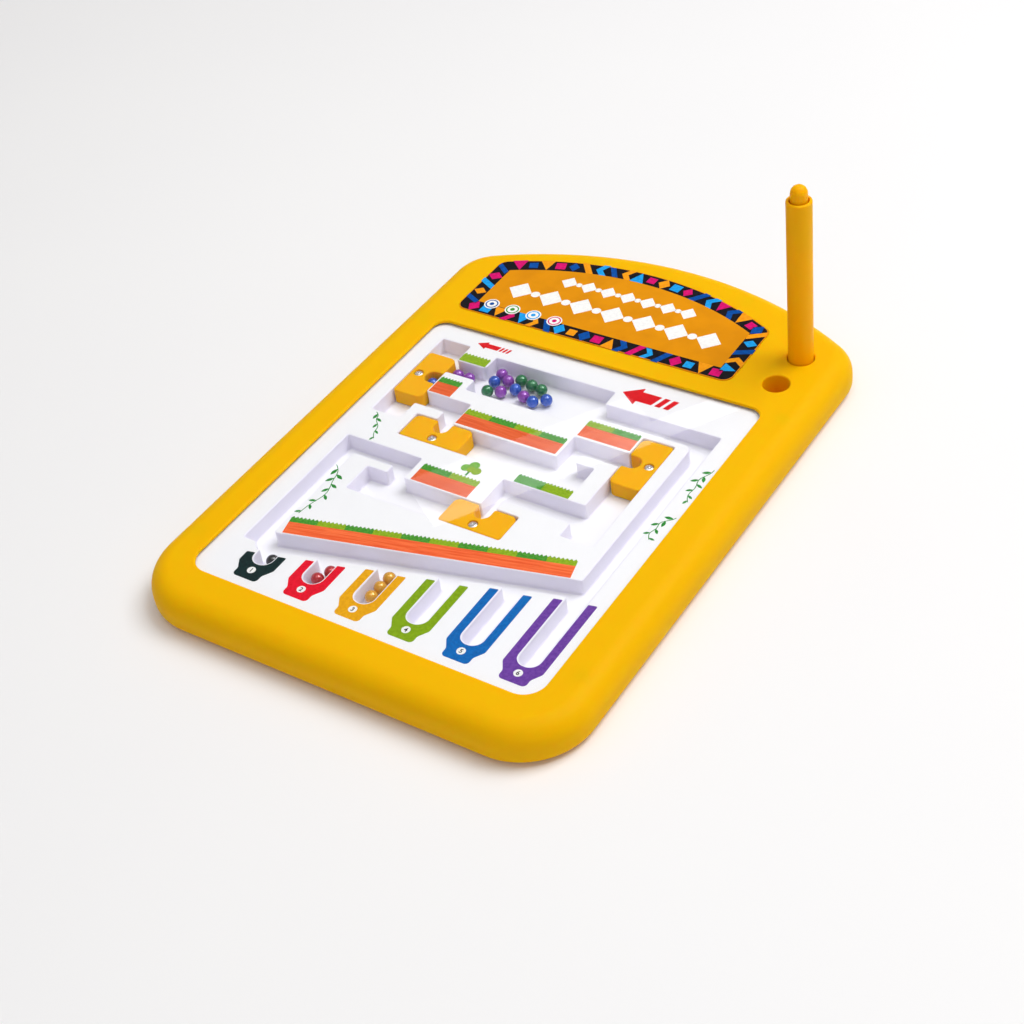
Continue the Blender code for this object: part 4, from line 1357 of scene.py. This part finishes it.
@dataclass(frozen=True)
class Sprig:
    """A printed twig: a bent stem with leaves in turn on its two sides.

    Args:
        name: The print's name.
        path: Its start, bend and end, in the plan's millimetres.
        leaves: How many leaves it has.
        leaf, thick: A leaf's length and the stem's width.
    """

    name: str
    path: tuple[Pair, Pair, Pair]
    leaves: int = 9
    leaf: float = 4.2
    thick: float = 0.45

    def build(self) -> None:
        """Prints the twig.

        The stem is the curve (1 - t)^2 a + 2 t (1 - t) b + t^2 c with a wave of 0.7 sin 13 t in
        x, and a leaf is a lens l (s, 0.2 sin(pi s)) turned away from the stem by 50 degrees. The
        leaves get smaller to 0.65 of their length at its end.
        """
        count = 25
        share = np.linspace(0, 1, count)[:, None]
        start, bend, end = np.array(self.path)
        stem = (1 - share) ** 2 * start + 2 * share * (1 - share) * bend + share**2 * end
        stem[:, 0] += 0.7 * np.sin(share[:, 0] * 13)
        outlines = [PLAN.lay(band(stem, self.thick))]
        along = np.gradient(stem, axis=0)
        along /= np.linalg.norm(along, axis=1, keepdims=True)
        half = np.linspace(0, 1, 7)
        lens = np.column_stack((half, -0.2 * np.sin(math.pi * half)))
        lens = np.vstack((lens, (lens * (1, -1))[-2:0:-1]))
        for i in range(self.leaves):
            k = 2 + round(i * (count - 4) / (self.leaves - 1))
            lean = math.radians(50 if i % 2 else -50)
            turn = spin(math.atan2(along[k, 1], along[k, 0]) + lean)
            size = self.leaf * (1.0 - 0.35 * k / (count - 1))
            outlines.append(PLAN.lay(stem[k] + size * lens @ turn))
        print_on(self.name, Finish.LEAF, outlines, PANEL)


@dataclass(frozen=True)
class SlotLabel:
    """The printed label round a ball slot, with a plain number.

    Args:
        slot, ink: The slot's place, from 0, and the label's colour.
        left_top, right_top: The plan's y where its arms end, in millimetres.
        arm, tab: Half its width over the arms and over the tab.
        steps: The plan's y of the arms' near end, of the tab's far end and of its near end.
        rim, slant: How far it stays off the slot, and how much an arm's end rises from left to right.
        outer, inner: The radii of the corners of an arm's end, away from the slot and beside it.
        shoulder, foot, cup: The radii of the shoulders, of the tab's corners and round the slot's end.
        disc: The radius of the number's disc.
        number: The number's place in the plan's y, and its letter size, both in metres.
    """

    slot: int
    ink: Finish
    left_top: float
    right_top: float
    arm: float = 11.25
    tab: float = 7.75
    steps: Triple = (14, 8.5, 3.5)
    rim: float = 0.75
    slant: float = 1.0
    outer: float = 0.7
    inner: float = 0.5
    shoulder: float = 3.0
    foot: float = 2.4
    cup: float = 6.2
    disc: float = 2.35
    number: Pair = (0.0100, 0.0036)

    def build(self, tray: MazeTray) -> None:
        """Prints the label, its disc and its number.

        Args:
            tray: The tray whose slot it marks.
        """
        x, side, low = tray.centre(self.slot), tray.half + self.rim, tray.start - self.rim
        arms, waist, end = self.steps
        rows = [(-self.arm, self.left_top, self.outer), (-self.arm, arms, self.shoulder)]
        rows += [(-self.tab, waist, self.shoulder), (-self.tab, end, self.foot)]
        rows += [(self.tab, end, self.foot), (self.tab, waist, self.shoulder)]
        rows += [(self.arm, arms, self.shoulder), (self.arm, self.right_top, self.outer)]
        rows += [(side, self.right_top - self.slant, self.inner), (side, low, self.cup)]
        rows += [(-side, low, self.cup), (-side, self.left_top + self.slant, self.inner)]
        outline = ring(corners(*((x + row[0], *row[1:]) for row in rows)))
        number, (y, size) = self.slot + 1, self.number
        print_on(f"slot_label_{number}", self.ink, [outline], PANEL)
        spot = PLAN.spot(x / 1000, y)
        print_on(f"slot_disc_{number}", Finish.WHITE, [circle(spot, self.disc / 1000, 40)], PANEL, 2)
        draw_number(number, spot, size)


def draw_number(number: int, spot: Sequence[float], size: float) -> None:
    """Prints a plain number on the panel, with its middle at a spot.

    Args:
        number: The number.
        spot: The x and y of its middle.
        size: Its letter size.
    """
    text = bpy.data.curves.new(f"number_{number}_shape", "FONT")
    text.body = str(number)
    text.size = size
    text.extrude = FILM / 2
    text.offset = size * 0.02
    text.resolution_u = 4
    draft = show(f"number_{number}_draft", text)
    shaped = draft.evaluated_get(bpy.context.evaluated_depsgraph_get())
    mesh = bpy.data.meshes.new_from_object(shaped)
    bpy.data.objects.remove(draft)
    points = np.empty(len(mesh.vertices) * 3)
    mesh.vertices.foreach_get("co", points)
    points = points.reshape(-1, 3)
    middle = (points.max(0) + points.min(0)) / 2
    # The number is the third film on the panel, over the label and its disc
    points += np.array([*spot, PANEL + FILM * 2.5]) - middle
    mesh.vertices.foreach_set("co", points.ravel())
    mesh.materials.clear()
    mesh.materials.append(Finish.BLACK.made())
    settle(mesh, f"slot_number_{number}", "board", ())


@dataclass(frozen=True)
class Arrow:
    """A printed arrow to the left with slanted bars behind it.

    Args:
        name: The print's name.
        tip: The plan's x and y of its tip, in millimetres.
        head, half, body: The head's length and half its height, and the body's length.
        bars: How many bars follow.
        thick, lean: Half the body's height and the ends' slant, in shares of half the head's height.
        gap, pitch, wide: The bars' first gap, pitch and width, in such shares.
        soft, fine: The radii of the arrow's corners and of the bars' corners, in millimetres.
    """

    name: str
    tip: Pair
    head: float
    half: float
    body: float
    bars: int
    thick: float = 0.56
    lean: float = 0.35
    gap: float = 0.26
    pitch: float = 0.7
    wide: float = 0.44
    soft: float = 0.3
    fine: float = 0.1

    def build(self) -> None:
        """Prints the arrow and its bars."""
        (x, y), half = self.tip, self.half
        thick, lean, wide = half * self.thick, half * self.lean, half * self.wide
        neck, end = x + self.head, x + self.head + self.body
        rows = [(x, y), (neck, y - half), (neck, y - thick), (end - lean / 2, y - thick)]
        rows += [(end + lean / 2, y + thick), (neck, y + thick), (neck, y + half)]
        outlines = [ring(corners(*rows, radius=self.soft))]
        for i in range(self.bars):
            left = end + half * (self.gap + self.pitch * i)
            foot, top = left - lean / 2, left + lean / 2
            rows = [(foot, y - thick), (foot + wide, y - thick), (top + wide, y + thick), (top, y + thick)]
            outlines.append(ring(corners(*rows, radius=self.fine)))
        print_on(self.name, Finish.ARROW, outlines, PANEL)


@dataclass(frozen=True)
class PanelPrint:
    """Everything that is printed on the white panel.

    Args:
        turfs: The strips of soil and grass.
        sprigs: The twigs.
        labels: The labels of the ball slots.
        arrows: The two arrows.
        foot: The plan's x and y of the tree's foot, in millimetres.
        trunk, girth: The points of its trunk, from its foot, and the trunk's width.
        blobs: The x, y and radius of each round of its crown, from its foot.
    """

    turfs: tuple[Turf, ...] = (
        Turf("corner_turf", 30.6, 203.6, 18.0, 0.0, 7.6, patch=18.0, flip=True),
        Turf("passage_turf", 31.0, 172.3, 14.4, 9.4, 5.2, patch=15.0),
        Turf("start_turf", 61.3, 154.4, 64.6, 9.0, 5.2, patch=16.0, flip=True),
        Turf("return_turf", 128.4, 173.2, 32.6, 9.0, 5.2, patch=16.0, flip=True),
        Turf("bridge_turf", 117.5, 126.1, 33.6, 0.0, 7.0, patch=17.0),
        Turf("middle_turf", 66.0, 104.3, 36.0, 9.4, 5.2, patch=18.0),
        Turf("slope_turf", 28.8, 39.9, 158.4, 8.7, 4.6, math.radians(13.16), 15.8),
    )
    sprigs: tuple[Sprig, ...] = (
        Sprig("far_left_sprig", ((15, 144), (22, 137), (27, 124)), 5, 5.0),
        Sprig("near_left_sprig", ((22, 97), (36, 82), (27, 56)), 9, 6.0),
        Sprig("far_right_sprig", ((209, 178), (203, 165), (208, 150)), 7, 5.4),
        Sprig("near_right_sprig", ((209, 137), (200, 129), (204, 117)), 6, 5.4),
    )
    labels: tuple[SlotLabel, ...] = (
        SlotLabel(0, Finish.SLOT_1, 20.5, 25.0),
        SlotLabel(1, Finish.SLOT_2, 28.5, 33.0),
        SlotLabel(2, Finish.SLOT_3, 36.5, 40.5),
        SlotLabel(3, Finish.SLOT_4, 44.0, 48.5),
        SlotLabel(4, Finish.SLOT_5, 52.5, 56.5),
        SlotLabel(5, Finish.SLOT_6, 60.0, 64.5),
    )
    arrows: tuple[Arrow, ...] = (
        Arrow("start_arrow", (32, 221.6), 6.4, 3.4, 8.6, 3),
        Arrow("return_arrow", (132, 216.2), 10.6, 7.6, 10.8, 2),
    )
    foot: Pair = (91.5, 119.2)
    trunk: tuple[Pair, ...] = ((0, 0), (0.2, 2.4), (-0.1, 5.0))
    girth: float = 1.1
    blobs: tuple[Triple, ...] = (
        (-3.4, 5.6, 2.7), (3.6, 5.2, 2.8), (0.2, 8.8, 3.0), (0.1, 5.4, 2.4)
    )

    def tree(self) -> None:
        """Prints a small round-crowned tree."""
        trunk = np.array(self.trunk) + self.foot
        print_on("tree_trunk", Finish.LEAF, [PLAN.lay(band(trunk, self.girth))], PANEL, 2)
        for layer, (x, y, radius) in enumerate(self.blobs):
            ink = Finish.MEADOW if layer % 2 else Finish.CROWN
            blob = PLAN.lay(circle((self.foot[0] + x, self.foot[1] + y), radius, 28))
            print_on(f"tree_crown_{layer + 1}", ink, [blob], PANEL, 1 + layer)

    def build(self, tray: MazeTray) -> None:
        """Prints the panel.

        Args:
            tray: The tray that is printed.
        """
        for piece in (*self.turfs, *self.sprigs):
            piece.build()
        for label in self.labels:
            label.build(tray)
        for arrow in self.arrows:
            arrow.build()
        self.tree()


@dataclass(frozen=True)
class CrossScrew:
    """A plated pan-head screw with a cross recess.

    Args:
        head, rise: The head's diameter and height.
        shank, length: The shank's diameter and length.
        span, width, blend: The cross's span, its arms' width and the way over which its edge eases, in
            shares of the head's diameter.
        depth, fall: The recess's depth and how low the head's edge lies, in shares of its height.
    """

    head: float
    rise: float
    shank: float
    length: float
    span: float = 0.64
    width: float = 0.19
    depth: float = 0.72
    blend: float = 0.035
    fall: float = 0.45

    def crown(self, radius: Points, angle: Points) -> Points:
        """Heights over the head: a dome h (1 - f s^4) less the recess, with s = r / R and a fall f.

        The recess has the depth d E(w - min(|x|, |y|)) E(l - max(|x|, |y|)), where E eases from
        0 to 1 over a short way, w is half its arms' width and l half its span.

        Args:
            radius: The distances from the axis.
            angle: The angles round it.

        Returns:
            The heights.
        """
        x, y = np.abs(radius * np.cos(angle)), np.abs(radius * np.sin(angle))
        blend = self.head * self.blend
        arms = np.clip((self.width * self.head / 2 - np.minimum(x, y)) / blend + 0.5, 0, 1)
        reach = np.clip((self.span * self.head / 2 - np.maximum(x, y)) / blend / 2 + 0.5, 0, 1)
        dome = self.rise * (1 - self.fall * (2 * radius / self.head) ** 4)
        return dome - self.depth * self.rise * arms * reach

    def build(self, name: str, place: Sequence[float], sign: float, turn: float, body: str) -> None:
        """Builds the screw.

        Args:
            name: The CAD node that it stands for.
            place: The place of its head's top.
            sign: 1 for a head that looks up, and -1 for one that looks down.
            turn: How far its cross is turned.
            body: The body that it rides on.
        """
        angle = np.arange(SIDES) * math.tau / SIDES
        # The head's rings stand closer together at its edge
        head = self.head / 2 * np.concatenate((np.linspace(0.001, 0.96, 36), [0.985, 1.0]))
        radius = np.concatenate((head, [self.head / 2, self.shank / 2, self.shank / 2]))
        spread, around = np.meshgrid(radius, angle, indexing="ij")
        height = self.crown(spread, around)
        height[-3:] = np.array([0.0, 0.0, -self.length])[:, None]
        grid = np.stack((spread * np.cos(around + turn), spread * np.sin(around + turn), height), axis=-1)
        grid[..., 2] = (grid[..., 2] - self.rise) * sign
        grid += np.array(place)
        skin = Skin().body(grid)
        skin.make(f"steel_{name}", [Finish.STEEL], body, [name], "screw_steel")


@dataclass(frozen=True)
class ShuttleGate:
    """A sliding gate with a notch for one ball and the steel screw that the pen pulls.

    Args:
        number: The gate's number.
        turn: The direction that its notch looks away from its back, in quarter turns.
        length, depth: Its sizes along and across its way.
        back, front: The radii of its back and front corners.
        notch, reach, lip: The notch's width and depth, and the radius at its mouth.
        edge, foot: The radii along its top edge and its foot.
        setback, head, seat: The screw's distance from its back, the diameter of the screw's head and the
            depth of its recess.
    """

    number: int
    turn: float
    length: float = 0.0384
    depth: float = 0.0188
    back: float = 0.0018
    front: float = 0.004
    notch: float = 0.0094
    reach: float = 0.0088
    edge: float = 0.0008
    setback: float = 0.0048
    head: float = 0.005
    lip: float = 0.0012
    foot: float = 0.0004
    seat: float = 0.0018

    def outline(self, inset: float, middle: Sequence[float]) -> Points:
        """The gate's outline.

        Args:
            inset: How far it is drawn in.
            middle: The gate's middle, to which it is turned and moved.

        Returns:
            The outline's points.
        """
        half, deep, gap = self.length / 2, self.depth / 2, self.notch / 2
        bottom = deep - self.reach
        rows = [(-half, -deep, self.back), (half, -deep, self.back), (half, deep, self.front)]
        rows += [(gap, deep, self.lip), (gap, bottom, gap * ROUND), (-gap, bottom, gap * ROUND)]
        rows += [(-gap, deep, self.lip), (-half, deep, self.front)]
        return ring(np.array(rows), inset) @ spin(self.turn * QUARTER) + middle

    def build(self) -> None:
        """Builds the gate and its screw."""
        node, screw = f"gate_{self.number}", f"gate_screw_{self.number}"
        body = f"{node}_body"
        (low, high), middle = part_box(node), middle_of(node)
        rings = [at(self.outline(x, middle), high.z - z) for x, z in quarter_round(self.edge, 6)]
        rings += [at(self.outline(x, middle), low.z + z) for x, z in quarter_round(self.foot)[::-1]]
        spot = tuple((0, self.setback - self.depth / 2) @ spin(self.turn * QUARTER) + middle)
        bore = self.head / 2 + PLAY
        mouth = [(bore + x, high.z - z) for x, z in quarter_round(PLAY)]
        skin = Skin().loft(rings).fill([rings[-1]]).fill([rings[0], at(circle(spot, mouth[0][0]), high.z)])
        skin.well(spot, mouth + [(bore, high.z - self.seat)])
        skin.make(f"shuttle_{node}", [Finish.GATE], body, [node], "yellow_plastic")
        steel = CrossScrew(self.head, rise=0.0012, shank=0.0024, length=0.0002)
        # Each gate's cross is turned another way
        steel.build(screw, (*spot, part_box(screw)[1].z), 1, 0.3 + 0.9 * self.number, body)


@dataclass(frozen=True)
class BackCover:
    """The flat cover under the board, with its ribs, screw cups and screws.

    Args:
        inset, thick, edge: How far it lies inside the board's outline, its thickness and its edge's radius.
        cup, cup_top: The screw cups' radius and the height of their top.
        bore, seat, hole: The radius of the bores for the heads, the height of their floor and the radius
            of the holes for the shanks.
        rib, margin: The ribs' thickness, and how far they stay inside the tray's edge.
    """

    inset: float = 0.0084
    thick: float = 0.002
    edge: float = 0.0005
    cup: float = 0.0048
    cup_top: float = 0.006
    bore: float = 0.0034
    seat: float = 0.003
    hole: float = 0.0017
    rib: float = 0.0016
    margin: float = 0.010

    def ribs(self, skin: Skin) -> None:
        """Adds the ribs that carry the tray.

        Args:
            skin: The cover's mesh.
        """
        low = np.array([TRAY_LOW.x, TRAY_LOW.y]) + self.margin
        high = np.array([TRAY_HIGH.x, TRAY_HIGH.y]) - self.margin
        half, top = self.rib / 2, TRAY_LOW.z - PLAY
        # The axis that the ribs stand across, their number and how much lower their top is
        for axis, count, play in ((0, 4, 0.0), (1, 3, PLAY)):
            for place in np.linspace(low[axis], high[axis], count):
                near, far = low - half, high + half
                near[axis], far[axis] = place - half, place + half
                strip = rectangle(near, far)
                skin.body([at(strip, self.thick / 2), at(strip, top - play)])

    def build(self) -> None:
        """Builds the cover and its screws."""
        rings = [at(PLAN.outline(self.inset + x), z) for x, z in quarter_round(self.edge)]
        rings.append(at(PLAN.outline(self.inset), self.thick))
        skin = Skin().loft(rings)
        below, above = [rings[0]], [rings[-1]]
        screw = CrossScrew(head=0.006, rise=0.0018, shank=0.0028, length=0.0125)
        for i in range(1, 7):
            name = f"back_screw_{i}"
            spot = middle_of(name)
            mouth = [(self.bore + x, z) for x, z in quarter_round(PLAY)]
            wall = [*mouth, (self.bore, self.seat), (self.hole, self.seat), (self.hole, self.cup_top)]
            wall += [(self.cup, self.cup_top), (self.cup, self.thick)]
            skin.loft(rounds(spot, wall))
            below.append(at(circle(spot, mouth[0][0]), 0.0))
            above.append(at(circle(spot, self.cup), self.thick))
            # Each screw's cross is turned another way
            screw.build(name, (*spot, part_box(name)[0].z), -1, 0.4 * i, "board")
        skin.fill(below).fill(above)
        self.ribs(skin)
        skin.make("back_plate", [Finish.COVER], "board", ["back_cover"], "yellow_plastic")


@dataclass(frozen=True)
class MagnetPen:
    """The magnet pen: a barrel whose rim is sunk round a domed nub.

    Args:
        bore: The bore's radius.
        sink, sink_depth: How much wider the bore is at its mouth, and how deep the mouth narrows.
        edge, foot: The radii along the top edge and at the foot.
        tip: The radius of the smallest ring on the nub's top.
    """

    bore: float = 0.005
    sink: float = 0.0006
    sink_depth: float = 0.0012
    edge: float = 0.0009
    foot: float = 0.0008
    tip: float = 1e-7

    def build(self) -> None:
        """Builds the barrel and the nub."""
        (low, high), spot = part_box("pen_barrel"), middle_of("pen_barrel")
        radius, depth = (high.x - low.x) / 2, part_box("pen_magnet")[0].z - PLAY
        profile = [(radius - x, low.z + z) for x, z in quarter_round(self.foot, 4)]
        profile += [(radius - x, high.z - z) for x, z in quarter_round(self.edge, 6)[::-1]]
        profile += [(self.bore + self.sink, high.z), (self.bore, high.z - self.sink_depth)]
        profile.append((self.bore, depth))
        rings = rounds(spot, profile, SIDES)
        skin = Skin().body(rings)
        skin.make("barrel", [Finish.PEN], "pen", ["pen_barrel"], "yellow_plastic")
        low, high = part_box("pen_nub")
        plug = (high.x - low.x) / 2
        turns = np.linspace(0, QUARTER, ARC)
        profile = [(plug - PLAY, low.z), (plug, low.z + PLAY)]
        profile += [(plug * math.cos(t) + self.tip, high.z - plug + plug * math.sin(t)) for t in turns]
        rings = rounds(spot, profile, SIDES)
        skin = Skin().loft(rings).fill([rings[0]])
        skin.make("nub", [Finish.PEN], "pen", ["pen_nub"], "yellow_plastic")


@dataclass(frozen=True)
class Ball:
    """A painted steel ball.

    Args:
        name: The name of its CAD node, which ends in its colour and number.
        rows: How many rows of points it has from pole to pole.
        sides: How many points a row has.
    """

    name: str
    rows: int = 29
    sides: int = 56

    def build(self) -> None:
        """Builds the ball as r (cos a cos b, cos a sin b, sin a) about its middle."""
        low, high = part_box(self.name)
        middle, radius = (low + high) / 2, (high.z - low.z) / 2
        rises = np.linspace(-QUARTER, QUARTER, self.rows)
        rise, around = np.meshgrid(rises, np.arange(self.sides) * math.tau / self.sides, indexing="ij")
        unit = np.stack((np.cos(rise) * np.cos(around), np.cos(rise) * np.sin(around), np.sin(rise)), axis=-1)
        colour = self.name.split("_")[1]
        paint = BallColour[colour.upper()]
        skin = Skin().grid(unit * radius + np.array(middle))
        skin.make(f"painted_{self.name}", [paint], self.name, [self.name], f"ball_{colour}")


@dataclass(frozen=True)
class Studio:
    """The floor, the lamps and the camera.

    Args:
        azimuth, elevation, roll: The angles of the camera round the board, over it and about its own axis.
        distance, aim: Its distance from its aim, and that point.
        lens: Its focal length in millimetres.
        ground: Half the floor's side.
        sky, strength: The colour and the strength of the light from all round.
        lamps: The name, place, side and power of each soft lamp.
        glare_turn, glare_foot: The direction of the edge that the glare's strips share, and a point on it.
        glare_start, strips: Where they start along it, and for each its width, its end and its radiance.
    """

    azimuth: float = math.radians(38.3)
    elevation: float = math.radians(40.9)
    roll: float = math.radians(-8.7)
    distance: float = 0.934
    aim: Triple = (0.0248, -0.0493, 0.02)
    lens: float = 63.8
    ground: float = 4.0
    sky: tuple[float, float, float, float] = (1.0, 0.965, 0.92, 1.0)
    strength: float = 0.33
    lamps: tuple[tuple[str, Triple, float, float], ...] = (
        ("key", (0.9, 1.0, 2.2), 1.5, 46.5),
        ("top", (0.0, -0.1, 2.4), 1.6, 12.0),
        ("fill", (0.9, -1.8, 1.0), 1.4, 4.5),
    )
    glare_turn: float = math.radians(56.93)
    glare_foot: Triple = (-1.1595, 1.3707, 1.6)
    glare_start: float = -0.102
    strips: tuple[Triple, ...] = (
        (0.032, 0.6, 4.2), (0.0585, 0.6, 3.6), (0.0965, 0.38, 2.7), (0.1525, 0.38, 1.8)
    )

    def camera(self) -> None:
        """Sets up the camera: it looks back along its direction and leans about it."""
        flat = math.cos(self.elevation)
        side, ahead = math.sin(self.azimuth) * flat, math.cos(self.azimuth) * flat
        back = Vector((side, -ahead, math.sin(self.elevation)))
        right = (-back).cross(Vector((0, 0, 1))).normalized()
        up = back.cross(right)
        across = math.cos(self.roll) * right + math.sin(self.roll) * up
        over = math.cos(self.roll) * up - math.sin(self.roll) * right
        data = bpy.data.cameras.new("camera")
        data.lens, data.sensor_width, data.clip_end = self.lens, 36.0, 20.0
        camera = show("camera", data)
        turned = Matrix((across, over, back)).transposed().to_4x4()
        camera.matrix_world = Matrix.Translation(Vector(self.aim) + back * self.distance) @ turned
        bpy.context.scene.camera = camera

    def lamp(
        self,
        name: str,
        place: Sequence[float],
        size: Sequence[float],
        power: float,
        turn: float | None = None,
    ) -> None:
        """Adds a soft lamp that looks at the board, or straight down where it has a turn.

        Args:
            name: The lamp's name.
            place: Where it hangs.
            size: Its two sides.
            power: Its power in watts.
            turn: The turn about Z of one that looks straight down.
        """
        data = bpy.data.lights.new(name, "AREA")
        data.shape, data.energy = "RECTANGLE", power
        data.size, data.size_y = size
        lamp = show(name, data)
        lamp.location = place
        view = Vector(self.aim) - Vector(place)
        lamp.rotation_euler = view.to_track_quat("-Z", "Y").to_euler() if turn is None else (0, 0, turn)

    def glare(self) -> None:
        """Hangs nested strips that share an edge, which the window mirrors as a band that fades upward."""
        turn, foot, start = self.glare_turn, Vector(self.glare_foot), self.glare_start
        along = Vector((math.cos(turn), math.sin(turn), 0))
        across = Vector((-math.sin(turn), math.cos(turn), 0))
        for number, (width, end, glow) in enumerate(self.strips):
            place = foot + along * (start + end) / 2 + across * width / 2
            size = (end - start, width)
            self.lamp(f"glare_{number}", place, size, glow * math.pi * size[0] * width, turn)

    def floor(self) -> None:
        """Lays the pale floor."""
        mix = Recipe("pale_floor")
        cloud = mix.noise(3.0, 2.0)
        colour = mix.mix(cloud, linear((238, 238, 240)), linear((242, 242, 243)))
        sockets = {"Base Color": colour, "Roughness": 0.6 + cloud * 0.05, "Specular IOR Level": 0.2}
        mesh = bpy.data.meshes.new("floor")
        square = at(rectangle((-self.ground, -self.ground), (self.ground, self.ground)), 0.0)
        mesh.from_pydata(square.tolist(), [], [(0, 1, 2, 3)])
        mesh.materials.append(mix.close(mix.surface(sockets)))
        floor = show("floor", mesh)

    def build(self) -> None:
        """Builds the studio."""
        self.camera()
        self.floor()
        for name, place, side, power in self.lamps:
            self.lamp(name, place, (side, side), power)
        self.glare()
        world = bpy.data.worlds.new("studio")
        world.use_nodes = True
        shade = world.node_tree.nodes["Background"].inputs
        shade["Color"].default_value, shade["Strength"].default_value = self.sky, self.strength
        bpy.context.scene.world = world
        bpy.context.scene.view_settings.view_transform = "Standard"


def dress(node: str, finish: Finish) -> None:
    """Gives a CAD node that stays a better material.

    Args:
        node: The node.
        finish: Its finish.
    """
    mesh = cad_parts[node].data
    mesh.materials.clear()
    mesh.materials.append(finish.made())
    log.info("%s: dressed in %s", node, finish.name.lower())


def main() -> None:
    """Builds the board from the outside in, then the studio."""
    logging.basicConfig(level=logging.INFO, format="%(name)s: %(message)s")
    tray = MazeTray()
    TopFrame().build()
    LABEL.build()
    BackCover().build()
    tray.build()
    PanelPrint().build(tray)
    dress("clear_window", Finish.SHEET)
    for number, turn in ((1, -1), (2, 0), (3, 1), (4, 0)):
        ShuttleGate(number, turn).build()
    for node in sorted(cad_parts):
        if node.startswith("ball_"):
            Ball(node).build()
    MagnetPen().build()
    dress("pen_magnet", Finish.MAGNET)
    Studio().build()


if __name__ == "__main__":
    main()
